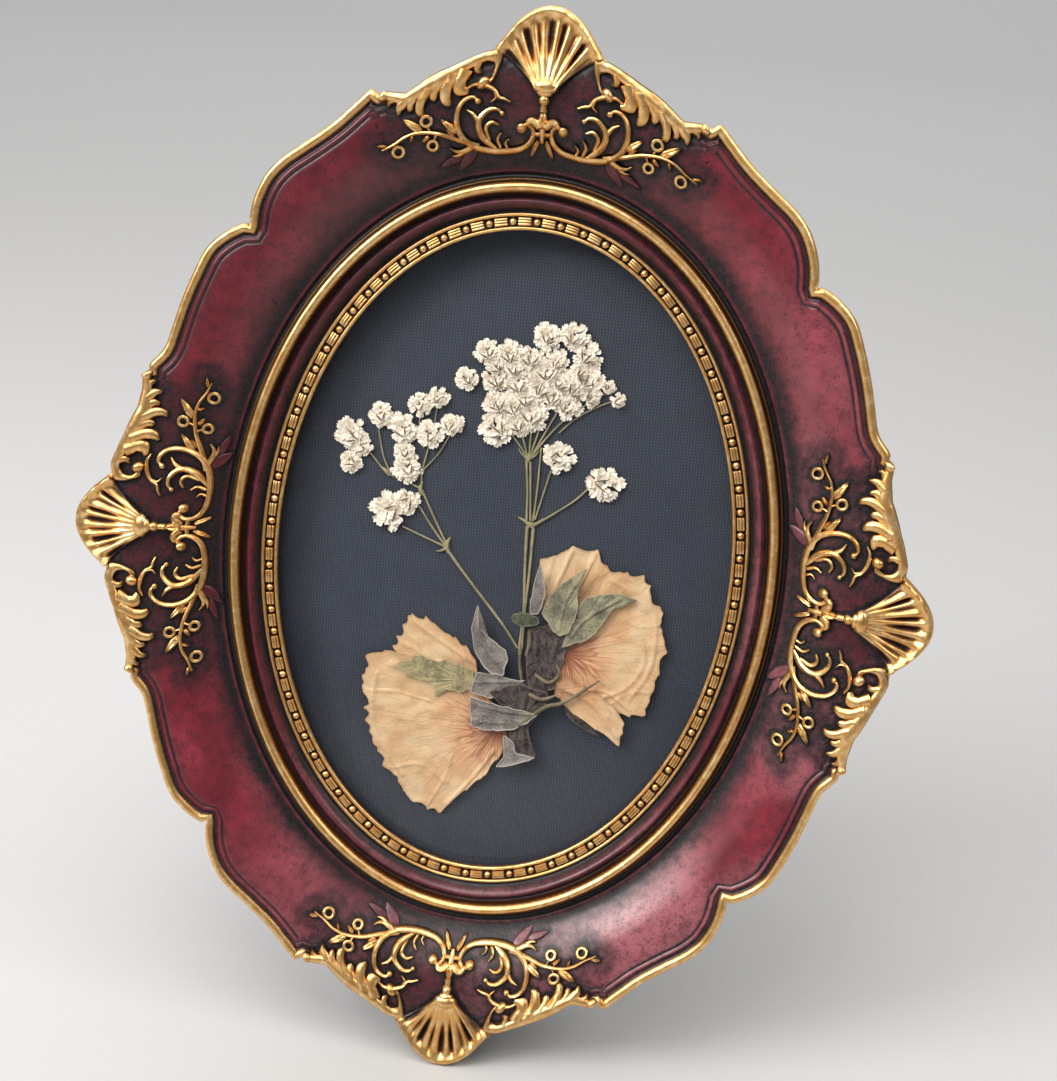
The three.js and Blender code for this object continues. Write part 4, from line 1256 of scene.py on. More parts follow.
        def shape(column: Array, row: Array) -> Array:
            """Fans the grid from the hinge to the rim."""
            share, reach = column / columns, (row / rows) ** 0.8
            wide = np.abs(2 * share - 1)
            heel = np.stack([(share - 0.5) * 2 * HEEL_HALF, HEEL_OUT - 0.1 + 0.5 * wide**2], axis=1)
            plan = heel + (rim[column] - heel) * reach[:, None]
            plan[:, 0] -= np.sin(reach * np.pi) * wide**3 * 0.8 * np.sign(share - 0.5)
            uneven = 0.75 + 0.25 * np.sin(share * 23 + 1.3)
            rib = np.abs(np.cos((share + 0.006 * np.sin(share * 31)) * np.pi * self.ribs))
            fade_in = (0.2 + 0.8 * np.clip((reach - 0.3) / 0.3, 0, 1)) * np.clip((reach - 0.1) / 0.15, 0, 1)
            furrow = (1 - rib**1.3) * self.furrow * fade_in * uneven * np.clip((0.9 - reach) / 0.1, 0, 1)
            roll = np.exp(-(((reach - 0.935) / 0.05) ** 2))
            fall = np.clip((reach - 0.96) / 0.04, 0, 1) ** 2 * 1.6
            height = self.shell_w - 0.35 * np.sin(reach * np.pi) + roll * (0.5 + 0.15 * rib) - furrow - fall
            ground = scoop(plan[:, 1]) - 0.2
            side_fall = np.clip((wide - 0.9) / 0.1, 0, 1) ** 1.5 * np.clip((0.93 - reach) / 0.12, 0, 1)
            return np.column_stack([plan, height + (ground - height) * side_fall])

        obj = sheet_mesh(columns, rows, shape)
        modify(obj, "SOLIDIFY", thickness=self.shell_thickness, offset=-1)
        heel, collar = ball((0, 0, 0), 1, 1, 20), ball((0, 0, 0), 1, 1, 16)
        stretch(heel, (3.1, 1.9, 1.9), (0, 22.0, 8.3))
        stretch(collar, (2.0, 1.2, 1.5), (0, 20.7, 8.2))
        return join([obj, heel, collar])

    def lay(self, side: Side, name: str, mirror: int, template: Object) -> tuple[Object, Array]:
        """Lays a copy of a flat template on the casting.

        Args:
            side: Where the ornament is.
            name: The template's name.
            mirror: 1 for the half as drawn, -1 for the other one.
            template: The drawing to copy.

        Returns:
            The copy, and its points as (u, v).
        """
        part = copy_of(template)
        along, across, height = points_of(part).T
        if name == "rim":
            out, sunk = np.interp(along, *self.edge_out(side)) - across, 0.15
        else:
            out, sunk = self.from_base(side, along, across), 0
        plan = self.on_face(side, along * mirror, out)
        move_points(part, np.column_stack([plan, surface_w(plan) - sunk + height]))
        crest = np.clip((height - 0.25) / 1.2, 0, 1)
        low = np.clip(1 - crest * 1.1, 0, 1)
        set_trait(part, Trait.GILT, (0.05 if name == "spur" else 0.95) * (0.4 + 0.6 * crest))
        set_trait(part, Trait.WASH, 0.35 + 0.3 * low if name == "spur" else low)
        return part, plan

    def lay_shell(self, side: Side, template: Object) -> tuple[Object, Array]:
        """Puts a copy of the shell in its place, and returns it with its points as (u, v)."""
        shell = copy_of(template)
        along, out, height = points_of(shell).T
        plan = self.on_face(side, along, out)
        move_points(shell, np.column_stack([plan, height]))
        crest = np.clip((height - 7.7) / 1.5, 0, 1)
        outer = np.interp(np.abs(along), *self.edge_out(side)) - out < 2.4
        set_trait(shell, Trait.GILT, np.where(outer, 1, 0.15 + 0.85 * crest))
        set_trait(shell, Trait.WASH, np.where(outer, 0.05, np.clip(1.1 - crest * 1.2, 0, 1)))
        return shell, plan

    def build_side(self, side: Side, finish: Material, templates: dict[str, Object]) -> Array:
        """Lays copies of the templates on the casting and joins them as one ornament.

        Args:
            side: Where the ornament is.
            finish: The lacquer.
            templates: The flat drawings by name.

        Returns:
            Face points of the carving, for the dark wash and painted shade round it.
        """
        laid = [
            self.lay(side, name, mirror, templates[name])
            for name in ("field", "rim", "middle", "spur")
            for mirror in ((1, -1) if name != "middle" else (1,))
        ]
        laid.append(self.lay_shell(side, templates["shell_upright" if side.upright else "shell_sideways"]))
        parts, plans = zip(*laid)
        obj = join(parts)
        weld(obj, FINE_WELD)
        if side is Side.BOTTOM:
            cut_at_floor(obj)
        Piece(f"shell_ornament_{side.value}", Slot.CASTING, finish, smooth_angle=50).deliver(obj)
        return np.vstack(plans)

    def build(self, finish: Material) -> KDTree:
        """Makes the four ornaments.

        Args:
            finish: The lacquer.

        Returns:
            The places of the carving.
        """
        templates = {
            "field": self.field_template(),
            "rim": self.rim_template(),
            "middle": self.middle_template(),
            "spur": self.spur_template(),
            "shell_upright": self.shell_template(Side.TOP),
            "shell_sideways": self.shell_template(Side.RIGHT),
        }
        places = np.vstack([self.build_side(side, finish, templates) for side in Side])
        discard(*templates.values())
        return tree_of(places[::3])


# ---- beading ----
@dataclass
class Beading:
    """Bars and round beads in turn, in the channel round the sight edge."""

    pairs: int = 78
    offset: float = 2.12
    floor_w: float = -6.1

    def build(self, finish: Material) -> None:
        """Models one bar and one bead, and sets copies of them round the channel."""
        ridges = [
            block((3.3, 0.58, 1.3), (0, y, 0.45 + rise), 0.22) for y, rise in ((0, 0.25), (0.66, 0), (-0.66, 0))
        ]
        bed = block((3.3, 1.95, 0.9), (0, 0, 0.25), 0.2)
        pair = join([*ridges, bed, ball((3.0, 0, 0.42), 0.96, 1.0, 12)])
        turns = np.linspace(0, 2 * np.pi, 4001)
        line = oval_point(turns, self.offset)
        along = np.concatenate([[0], np.cumsum(np.hypot(*np.diff(line, axis=0).T))])
        at = np.interp(np.arange(self.pairs) / self.pairs * along[-1], along, turns)
        here, ahead = oval_point(at, self.offset), oval_point(at + 1e-4, self.offset)
        x, y, z = points_of(pair).T
        bow = 0.5 * x**2 / (RING_U + 5)
        copies = []
        for place, step in zip(here, ahead - here):
            direction = step / np.hypot(*step)
            outward = np.array([direction[1], -direction[0]])
            plan = place + np.outer(x, direction) + np.outer(y, outward) - np.outer(bow, outward)
            copies.append(copy_of(pair))
            move_points(copies[-1], np.column_stack([plan, self.floor_w + z]))
        discard(pair)
        crest = np.tile(np.clip((z - 0.15) / 0.85, 0, 1), self.pairs)
        obj = join(copies)
        set_trait(obj, Trait.GILT, 0.4 + 0.6 * crest)
        set_trait(obj, Trait.WASH, np.clip(1 - crest * 1.25, 0, 1))
        weld(obj, FINE_WELD)
        Piece("bar_and_bead", Slot.CASTING, finish).deliver(obj)


# ---- back ----
STRUT_OPEN = math.radians(30)
HINGE_V = 35.0
HINGE_W = BOARD_BACK_W - 0.3 - 2.4
AT_HINGE = Matrix.Translation((0, HINGE_V, HINGE_W))
BOARD_OFFSET = 4.55  # sight edge to the board's edge


@dataclass
class Back:
    """The covered board, its turn-down tabs and the easel strut on its hinge."""

    tab_turns: tuple[float, ...] = (38, 142, 218, 322)
    tab_offset: float = 9.4  # sight edge to the tabs' legs
    knuckle_radius: float = 2.4
    pin_radius: float = 1.0
    knuckle_split: float = 5.0  # half the length of the leaf's knuckle
    bracket_split: float = 5.3  # where the bracket's knuckles start
    hinge_half: float = 12.0
    strut_thickness: float = 3.0

    def board(self, finish: Material) -> None:
        """The oval board with rounded edges."""
        obj = added(bpy.ops.mesh.primitive_cylinder_add, vertices=160, radius=1, depth=1)
        scale = (SIGHT_U + BOARD_OFFSET, SIGHT_V + BOARD_OFFSET, BOARD_FRONT_W - BOARD_BACK_W)
        stretch(obj, scale, (0, 0, (BOARD_FRONT_W + BOARD_BACK_W) / 2))
        modify(obj, "BEVEL", width=0.5, segments=3, limit_method="ANGLE")
        Piece("backing_board_covered", Slot.BOARD, finish, replaces=("backing_board",)).deliver(obj)

    def tabs(self, finish: Material) -> None:
        """Four bent steel tabs that hold the board in."""
        for number, degrees in enumerate(self.tab_turns, 1):
            turn = np.array([math.radians(degrees)])
            out_u, out_v = oval_point(turn, 1)[0] - oval_point(turn, 0)[0]
            plate = block((6.9, 7.9, 0.6), (-3.1, 0, BACK_W - 0.6), 0.22)
            leg = block((0.6, 7.9, 4.7), (0, 0, BACK_W + 1.6), 0.22)
            dimple = ball((-3.4, 0, BACK_W - 0.85), 1.3, 0.35)
            obj = join([plate, leg, dimple])
            spot = Matrix.Translation((*oval_point(turn, self.tab_offset)[0], 0))
            obj.data.transform(spot @ Matrix.Rotation(math.atan2(out_v, out_u), 4, "Z"))
            name = f"retaining_tab_{number}"
            Piece(name + "_bent", Slot.STEEL, finish, replaces=(name,)).deliver(obj)

    def barrel(self, start: float, end: float) -> Object:
        """A rolled knuckle with its bore, round the X axis.

        Args:
            start: Where it starts.
            end: Where it ends.

        Returns:
            The new object.
        """
        obj = added(bpy.ops.mesh.primitive_circle_add, vertices=28, radius=self.knuckle_radius, location=(0, 0, 0))
        obj.data.transform(Matrix.Rotation(math.pi / 2, 4, "Y"))
        edit(obj, lambda: bpy.ops.mesh.extrude_edges_move(TRANSFORM_OT_translate={"value": (end - start, 0, 0)}))
        stretch(obj, (1, 1, 1), (start, 0, 0))
        weld(obj)
        modify(obj, "SOLIDIFY", thickness=self.knuckle_radius - self.pin_radius - 0.25, offset=-1)
        return obj

    def bracket(self, finish: Material) -> None:
        """The plate on the board, with two knuckles and four screws."""
        front, half = BOARD_BACK_W - 0.3, self.hinge_half
        parts = [block((24, 14, 0.8), (0, HINGE_V + 7, front - 0.4), 0.3)]
        for start, end in ((self.bracket_split, half), (-half, -self.bracket_split)):
            parts.append(self.barrel(start, end))
            parts[-1].data.transform(AT_HINGE)
        parts += [ball((x, HINGE_V + y, front - 0.9), 1.5, 0.4) for x in (-8.5, 8.5) for y in (5.6, 10.6)]
        Piece("hinge_bracket_rolled", Slot.STEEL, finish, replaces=("hinge_bracket",)).deliver(join(parts))

    def pin(self, finish: Material) -> None:
        """The hinge pin with rounded ends."""
        radius, length = self.pin_radius * 0.97, 2 * self.hinge_half + 2
        obj = added(bpy.ops.mesh.primitive_cylinder_add, vertices=24, radius=radius, depth=length)
        obj.data.transform(AT_HINGE @ Matrix.Rotation(math.pi / 2, 4, "Y"))
        modify(obj, "BEVEL", width=0.3, segments=3, limit_method="ANGLE")
        Piece("hinge_pin_turned", Slot.STEEL, finish, replaces=("hinge_pin",)).deliver(obj)

    def strut(self, cover: Material, steel: Material) -> None:
        """The covered strut and the hinge leaf screwed to it, open at their stop.

        Args:
            cover: The strut's cover.
            steel: The leaf's metal.
        """
        opened = AT_HINGE @ Matrix.Rotation(STRUT_OPEN, 4, "X")
        low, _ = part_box("easel_strut")
        hinge_height = (FACE.matrix() @ Vector((0, HINGE_V, HINGE_W))).z / MM - low.z / MM
        tilt = STRUT_OPEN - LEAN
        obj = added(bpy.ops.mesh.primitive_cube_add, size=1)
        x, y, z = points_of(obj).T
        w = z * self.strut_thickness
        foot = -(hinge_height - w * math.sin(tilt)) / math.cos(tilt) + 0.02
        at_top = y > 0
        move_points(obj, np.column_stack([x * np.where(at_top, 28, 48), np.where(at_top, -3.2, foot), w]))
        modify(obj, "BEVEL", width=0.45, segments=3)
        obj.data.transform(opened)
        Piece("easel_strut_covered", Slot.BOARD, cover, Body.STRUT, ("easel_strut",)).deliver(obj)
        knuckle = self.barrel(-self.knuckle_split, self.knuckle_split)
        plate = block((10, 25.8, 0.6), (0, -13.1, -2.1), 0.25)
        screws = [ball((x, y, -2.45), 1.3, 0.4) for x, y in ((-2.6, -9), (2.6, -15), (-2.6, -21))]
        leaf = join([knuckle, plate, *screws])
        leaf.data.transform(opened)
        Piece("hinge_leaf_rolled", Slot.STEEL, steel, Body.STRUT, ("hinge_leaf",)).deliver(leaf)

    def build(self, cover: Material, steel: Material) -> None:
        """Makes everything behind the card.

        Args:
            cover: The flock on the board and the strut.
            steel: The fittings' metal.
        """
        self.board(cover)
        self.tabs(steel)
        self.bracket(steel)
        self.pin(steel)
        self.strut(cover, steel)


# ---- pressed roses ----
LAYER_STEP = 0.65
FIRST_LAYER_W = CARD_FRONT_W + 0.3
FOLD_GAIN = 1.15  # height of a pressed fold over its drawn height
FOLD_SQUEEZE = 0.75  # its width over its drawn width


@dataclass(frozen=True)
class Fold:
    """A crease in a petal: a smooth line, its height and half its width."""

    line: Line
    height: float
    width: float


@dataclass(frozen=True)
class Sheet:
    """A pressed petal or sepal, drawn from its base out to its outline."""

    name: str
    slot: Slot
    outline: Line
    root: tuple[float, float]
    layer: float
    crumple: float = 0.3
    rays: float = 0.16
    curl: float = 0.3
    jagged: float = 0.25
    thickness: float = 0.22
    folds: tuple[Fold, ...] = ()
    replaces: tuple[str, ...] = ()
    look: str = ""  # a finish other than its slot's own
    far: float = 0.0  # how much of the petal's base is hidden, in millimetres

    def build(self, finish: Material) -> None:
        """Makes the sheet, thin, crumpled and veined."""
        seed = seed_of(self.name)
        rim = smooth_line(self.outline, 0.4, closed=True, ease=0.3)
        root = np.array(self.root)
        cusps = 0.85 - 3.4 * np.abs(ripple(rim, 3.4, seed + 5))
        tooth = 0.5 * ripple(rim, 1.3, seed) + np.clip(cusps, -0.9, 1)
        outward = rim - root
        length = np.hypot(*outward.T)
        rim = rim + outward / length[:, None] * (tooth * self.jagged)[:, None]
        columns, rows = len(rim), max(8, int(length.max() / 0.55))

        def shape(column: Array, row: Array) -> Array:
            """Fans the grid from the base to the outline."""
            reach = (row / rows)[:, None]
            plan = root + (rim[column % columns] - root) * (0.004 + 0.996 * reach)
            return np.column_stack([plan, self.height_at(plan, reach[:, 0], seed)])

        obj = sheet_mesh(columns, rows, shape)
        column, row = grid_order(columns, rows)
        offset = points_of(obj)[:, :2] - root
        set_trait(obj, Trait.RAY, np.arctan2(offset[:, 1], offset[:, 0]))
        set_trait(obj, Trait.REACH, np.hypot(*offset.T) + self.far)
        set_trait(obj, Trait.EDGE, (1 - row / rows) * length[column % columns])
        weld(obj, 0.001)
        modify(obj, "SOLIDIFY", thickness=self.thickness, offset=0)
        Piece(self.name, self.slot, finish, replaces=self.replaces, smooth_angle=70).deliver(obj)

    def height_at(self, plan: Array, reach: Array, seed: float) -> Array:
        """Height of the sheet over the card.

        Args:
            plan: Face points of the sheet.
            reach: Their share of the way from the base to the outline.
            seed: Moves the noise.

        Returns:
            One height w for each point.
        """
        offset = plan - np.array(self.root)
        angle = np.arctan2(offset[:, 1], offset[:, 0])
        away = np.hypot(*offset.T)
        crumple = ripple(plan, 8.0, seed) * 0.5 + ripple(plan, 2.8, seed + 9) * 0.5
        ribs = ripple(np.stack([angle * 9, away * 0.05], axis=1), 1.0, seed)
        height = self.crumple * crumple + self.rays * ribs * np.clip(away / 6, 0, 1) + self.curl * 0.6 * reach**8
        for fold in self.folds:
            near = distances(tree_of(smooth_line(fold.line, 0.6)), plan)
            height = height + FOLD_GAIN * fold.height * np.exp(-((near / (FOLD_SQUEEZE * fold.width)) ** 2))
        return FIRST_LAYER_W + 0.2 + self.layer * LAYER_STEP + height


def seed_of(name: str) -> float:
    """A steady number from a name, to move noise by."""
    return sum((i + 1) * ord(letter) for i, letter in enumerate(name)) % 97 + 0.37


@dataclass
class Roses:
    """Two roses pressed open: petals, sepals, calyx and what is left of their stalks."""

    petals: tuple[Sheet, ...] = (
        Sheet(
            "rose_left_upper_petal", Slot.PETAL,
            ((-26.6, -29), (-25.3, -24.4), (-24.2, -21.4), (-22.9, -18.6), (-21, -19.6), (-19.2, -18.8),
             (-15.3, -21.2), (-9.8, -24), (-6.4, -26.2), (-3.6, -29.8), (-3, -34), (-8, -40), (-20, -38)),
            (-5, -35), 0.0, 0.4, 0.1, 0.5, 0.8,
            folds=(Fold(((-4, -30), (-14, -25), (-22, -20.5)), 0.35, 0.8), Fold(((-8, -34), (-24, -27)), 0.3, 1.2)),
            replaces=("rose_left_back_petal",), far=7.0,
        ),
        Sheet(
            "rose_left_broad_petal", Slot.PETAL,
            ((-26.4, -29.6), (-28.7, -29.9), (-33.5, -31.4), (-32.7, -34), (-34.3, -38.4), (-33, -42.9),
             (-32.4, -47.3), (-31.4, -50.6), (-30.2, -53.4), (-28.1, -57), (-25.9, -61.2), (-23.4, -64),
             (-21.4, -65.6), (-19, -68.9), (-16.4, -70.8), (-14, -71.6), (-11.4, -72), (-9.2, -72.4), (-7.6, -70.1),
             (-4.2, -66.4), (0.2, -61.8), (3.4, -57.4), (5.2, -53.4), (6, -48.4), (5, -44), (1.5, -40), (-4.2, -35),
             (-13, -31)),
            (3.6, -46.4), 1.0, 0.5, 0.1, 0.5, 0.8,
            folds=(
                Fold(((-30.6, -36), (-31, -46), (-27.6, -55), (-21, -63.4)), 0.4, 0.6),
                Fold(((-27, -33), (-20, -34), (-12, -37)), 0.3, 1.2),
                Fold(((-8, -70), (-2, -62), (3.4, -53)), 0.35, 0.7),
                Fold(((-32, -41), (-24, -40.6), (-15, -42)), 0.22, 0.5),
                Fold(((-24, -62), (-16, -60), (-9, -64)), 0.25, 0.6),
                Fold(((-13, -71), (-9, -62), (-8, -56)), 0.2, 0.5),
            ),
            replaces=("rose_left_front_petal",),
        ),
        Sheet(
            "rose_right_top_petal", Slot.PETAL,
            ((9.8, -1), (10.3, 0.8), (13, 1.6), (15.8, 3.3), (18, 5), (20.6, 4.2), (24.4, 5), (25.6, 2.4), (28, 0.4),
             (30.6, -0.6), (32, -8), (24, -14), (18, -16), (11, -11)),
            (19, -12), 0.0, 0.45, 0.14, 0.5, 0.7,
            folds=(
                Fold(((14, -8), (16, -2), (18, 4.4)), 0.4, 0.7),
                Fold(((19, -8), (22, -2), (24, 4)), 0.4, 0.8),
                Fold(((12, -6), (13, 1)), 0.3, 0.7),
            ),
            replaces=("rose_right_back_petal",), far=9.0,
        ),
        Sheet(
            "rose_right_broad_petal", Slot.PETAL,
            ((22, -8), (25, -2.4), (28, -0.6), (31, -0.2), (35.8, 0.5), (38.6, -1.6), (40.8, -6.2), (42.9, -9.6),
             (43.6, -15.1), (46.2, -19.6), (44.6, -22), (44.1, -24.6), (43.6, -29.6), (43.2, -32.9), (42.4, -36.9),
             (38, -38), (33, -37.5), (26, -36), (20.2, -35.4), (17.6, -32.4), (16.3, -29), (17.6, -24), (18.4, -17)),
            (19.2, -23.4), 1.0, 0.45, 0.1, 0.5, 0.8,
            folds=(
                Fold(((38, -2.6), (41.4, -9), (42.6, -18), (41.6, -26), (37.6, -33.6)), 0.5, 0.5),
                Fold(((36.4, -13), (39.4, -18), (40, -24.6), (36, -31), (30, -34.4)), 0.4, 0.45),
                Fold(((29, -2), (33.4, -4.4), (37.6, -9)), 0.35, 0.6),
                Fold(((24, -33.6), (31, -32.4), (38, -36.4)), 0.3, 0.5),
                Fold(((33, -35.4), (38, -31.6), (43, -31)), 0.25, 0.5),
                Fold(((43.4, -12), (38, -13.6), (33, -12)), 0.2, 0.5),
            ),
            replaces=("rose_right_front_petal",),
        ),
        Sheet(
            "rose_right_folded_flap", Slot.PETAL,
            ((17.4, -31.4), (20, -30), (25, -31.6), (29, -33.4), (34.6, -36.2), (36.9, -40.8), (36.5, -46.5),
             (33.6, -44.6), (31.3, -43.4), (28.4, -42.2), (25.8, -40.8), (22.6, -38.8), (20.2, -37.4), (18.2, -34.6)),
            (19.4, -33), 2.0, 0.4, 0.1, 0.4, 0.6,
            folds=(Fold(((20, -33), (28, -36), (35.6, -44)), 0.4, 0.8), Fold(((27, -33.6), (32.6, -39)), 0.3, 0.7)),
            far=7.0,
        ),
    )
    sepals: tuple[Sheet, ...] = (
        Sheet(
            "rose_left_torn_sepal_leaf", Slot.LEAF,
            ((-25.4, -33.2), (-24, -31.8), (-22.4, -31), (-21.6, -29.4), (-19, -29.2), (-15.4, -30.2), (-12, -29.4),
             (-8, -30.6), (-4.6, -32.2), (-4.2, -36.8), (-8, -37.6), (-12.2, -38), (-13.4, -39.8), (-14.8, -38.6),
             (-15.6, -36.8), (-19.4, -36), (-22.4, -35.4)),
            (-7, -34.4), 2.0, 0.3, 0.2, 0.2, 0.7, replaces=("rose_left_torn_sepal",), look="bleached",
        ),
        Sheet(
            "rose_left_curled_sepal_leaf", Slot.GREY_LEAF,
            ((-5.1, -13.2), (-4.3, -19), (-1.6, -21.4), (0.6, -22.4), (3.6, -24.6), (4.4, -27.3), (3.6, -31.4),
             (0.8, -31.6), (-2.6, -29), (-4.8, -25.1), (-6.2, -19.6)),
            (1.4, -28.6), 3.0, 0.35, 0.2, 0.6, 0.2,
            folds=(Fold(((-5, -15), (-3.4, -22), (1.4, -28)), 0.5, 0.7),), replaces=("rose_left_curled_sepal",),
        ),
        Sheet(
            "rose_left_middle_sepal_leaf", Slot.GREY_LEAF,
            ((-4.4, -34.6), (-3.1, -31.8), (2, -31.9), (7, -32.4), (9.3, -32.2), (6.6, -34.4), (4.7, -35.9),
             (1.3, -38.2), (-2, -38), (-4.4, -37.3)),
            (2.2, -34.6), 2.2, 0.3, 0.2, 0.4, 0.25,
            folds=(Fold(((-3.6, -34.6), (2, -33.6), (8.4, -32.6)), 0.35, 0.5),), replaces=("rose_left_middle_sepal",),
        ),
        Sheet(
            "rose_left_lower_sepal_leaf", Slot.GREY_LEAF,
            ((-4.4, -38.6), (-1, -39), (3.6, -39.5), (8.6, -40), (13.8, -40.7), (11.4, -43.4), (8.4, -45.6),
             (3.6, -46.8), (0, -46.9), (-3.2, -46.4), (-4, -43)),
            (4, -42.8), 4.0, 0.35, 0.25, 0.5, 0.25,
            folds=(Fold(((-3.6, -40), (4, -41), (12.6, -41)), 0.4, 0.6), Fold(((-3, -45), (5, -44.4)), 0.3, 0.6)),
            replaces=("rose_left_lower_sepal",),
        ),
        Sheet(
            "rose_left_stalk_sepal", Slot.GREY_LEAF,
            ((5.6, -47.9), (8.6, -49.4), (9.4, -52.4), (14.6, -52.8), (9.8, -55.4), (4.5, -57), (6.4, -53.6)),
            (8, -52), 3.6, 0.3, 0.2, 0.5, 0.2,
        ),
        Sheet(
            "rose_right_inner_sepal_leaf", Slot.GREY_LEAF,
            ((8.9, -13.6), (8.7, -9.6), (9.1, -5), (10.1, -0.2), (11.5, -4.4), (12.6, -8.2), (12, -11), (11, -13.6)),
            (10.3, -9), 3.0, 0.25, 0.15, 0.4, 0.2, replaces=("rose_right_inner_sepal",),
        ),
        Sheet(
            "rose_right_upright_sepal_leaf", Slot.LEAF,
            ((22.5, 0.6), (21.4, -3), (20.8, -6.2), (21.2, -11.8), (19.7, -17.3), (17.4, -18.4), (15.4, -17.3),
             (12, -13), (13.6, -8.4), (15.6, -5.4), (18.2, -2.8)),
            (17.4, -12.6), 4.0, 0.25, 0.2, 0.2, 0.15,
            folds=(Fold(((17, -17), (18, -9), (21.6, -1)), 0.25, 0.5),), replaces=("rose_right_upright_sepal",),
        ),
        Sheet(
            "rose_right_outer_sepal_leaf", Slot.LEAF,
            ((18.4, -21.4), (19.5, -16.2), (21.1, -9.8), (23.4, -7.4), (26.6, -6.2), (31.6, -5.2), (36.6, -6.3),
             (32.8, -7.4), (30.8, -9), (29.1, -11.8), (27, -16), (24.7, -18.6), (21, -20.4)),
            (23.2, -13.6), 3.0, 0.3, 0.2, 0.25, 0.15,
            folds=(Fold(((19.4, -20), (24, -13), (32, -6.6)), 0.3, 0.5),), replaces=("rose_right_outer_sepal",),
        ),
        Sheet(
            "rose_right_thin_sepal", Slot.CALYX,
            ((20.6, -37.2), (22.6, -39.4), (26, -41.4), (30.2, -44.2), (31.2, -45), (27.6, -43.8), (24, -42),
             (21.6, -40)),
            (24, -41), 1.0, 0.2, 0.1, 0.2, 0.2,
        ),
        Sheet(
            "rose_right_receptacle_disc", Slot.LEAF,
            ((3.9, -15.4), (5, -14.2), (8, -13.8), (11, -14.4), (11.7, -15.8), (10, -17.1), (7, -17.4), (4.6, -16.6)),
            (7.8, -15.7), 4.0, 0.2, 0.2, 0.3, 0.25, thickness=0.5, replaces=("rose_right_receptacle",), look="dark",
        ),
    )
    calyces: tuple[Sheet, ...] = (
        Sheet(
            "rose_left_calyx_base", Slot.CALYX,
            ((0.5, -36.4), (3, -35.6), (6, -33.8), (9.1, -33.2), (12, -33.8), (16, -34.8), (15.6, -38), (14.2, -41),
             (11.8, -45), (12.6, -48.6), (14.9, -52.8), (11, -54.2), (9, -52), (7, -47.6), (6.4, -44), (4, -40)),
            (10, -42), 2.6, 0.5, 0.35, 0.3, 0.35, folds=(Fold(((10, -36), (10, -44), (12, -52)), 0.6, 0.9),),
            thickness=0.4, replaces=("rose_left_calyx",),
        ),
        Sheet(
            "rose_right_calyx_base", Slot.CALYX,
            ((9, -18.4), (11, -17), (14, -16.4), (18.6, -17), (20.2, -20), (19.4, -24), (18.4, -28.6), (17.8, -33),
             (14, -35), (11, -33.6), (9.6, -30), (9.4, -25)),
            (14.4, -25), 2.0, 0.6, 0.4, 0.3, 0.35,
            folds=(Fold(((11, -19), (12, -26), (15, -33)), 0.7, 0.8), Fold(((17, -19), (16, -26)), 0.5, 0.7)),
            thickness=0.4, replaces=("rose_right_calyx",),
        ),
    )
    strands: tuple[Stroke, ...] = (
        Stroke(
            ((9.1, -44.6, -9.9), (15.8, -38.4, -9.8), (20.8, -36.2, -9.9), (29.3, -29.2, -10.4)), (0.5, 0.6, 0.5, 0.2)
        ),
        Stroke(((9.4, -18.4, -10.6), (9.6, -22, -10.7), (9, -25.4, -11)), (0.5, 0.55, 0.3)),
        Stroke(((7.4, -24, -12), (7.6, -28, -11.6), (8.8, -33, -11)), (0.45, 0.4, 0.35)),
        Stroke(
            ((12, -30, -10.4), (16, -31.6, -10.2), (18.4, -29, -10.4), (17.4, -26.4, -10.6)), (0.4, 0.5, 0.4, 0.2)
        ),
        Stroke(((11, -35.4, -10), (14.6, -36.4, -9.9), (18.4, -34.8, -10.2)), (0.5, 0.55, 0.25)),
    )

    def build(self, finishes: dict[Slot, Material], looks: dict[str, Material], strand_finish: Material) -> None:
        """Makes both roses.

        Args:
            finishes: The finish of each slot.
            looks: The other finishes by name.
            strand_finish: The finish of the dried strands.
        """
        for sheet in (*self.petals, *self.sepals, *self.calyces):
            sheet.build(looks.get(sheet.look, finishes[sheet.slot]))
        Piece("rose_strands", Slot.CALYX, strand_finish).deliver(strokes_mesh(self.strands, 0.6))


# ---- gypsophila ----
CLUSTER = (4.0, 47.0)  # middle of the dense head, whose calyces show
CLUSTER_RADIUS = 17.0
STEM_W = CARD_FRONT_W + 0.45
STEM_THINNING = 0.88  # a dried stem's radius over its drawn radius
STREAK_W = -10.4  # height of the calyx streaks' ends
GOLDEN_ANGLE = 2.399963  # turn between petals, in radians


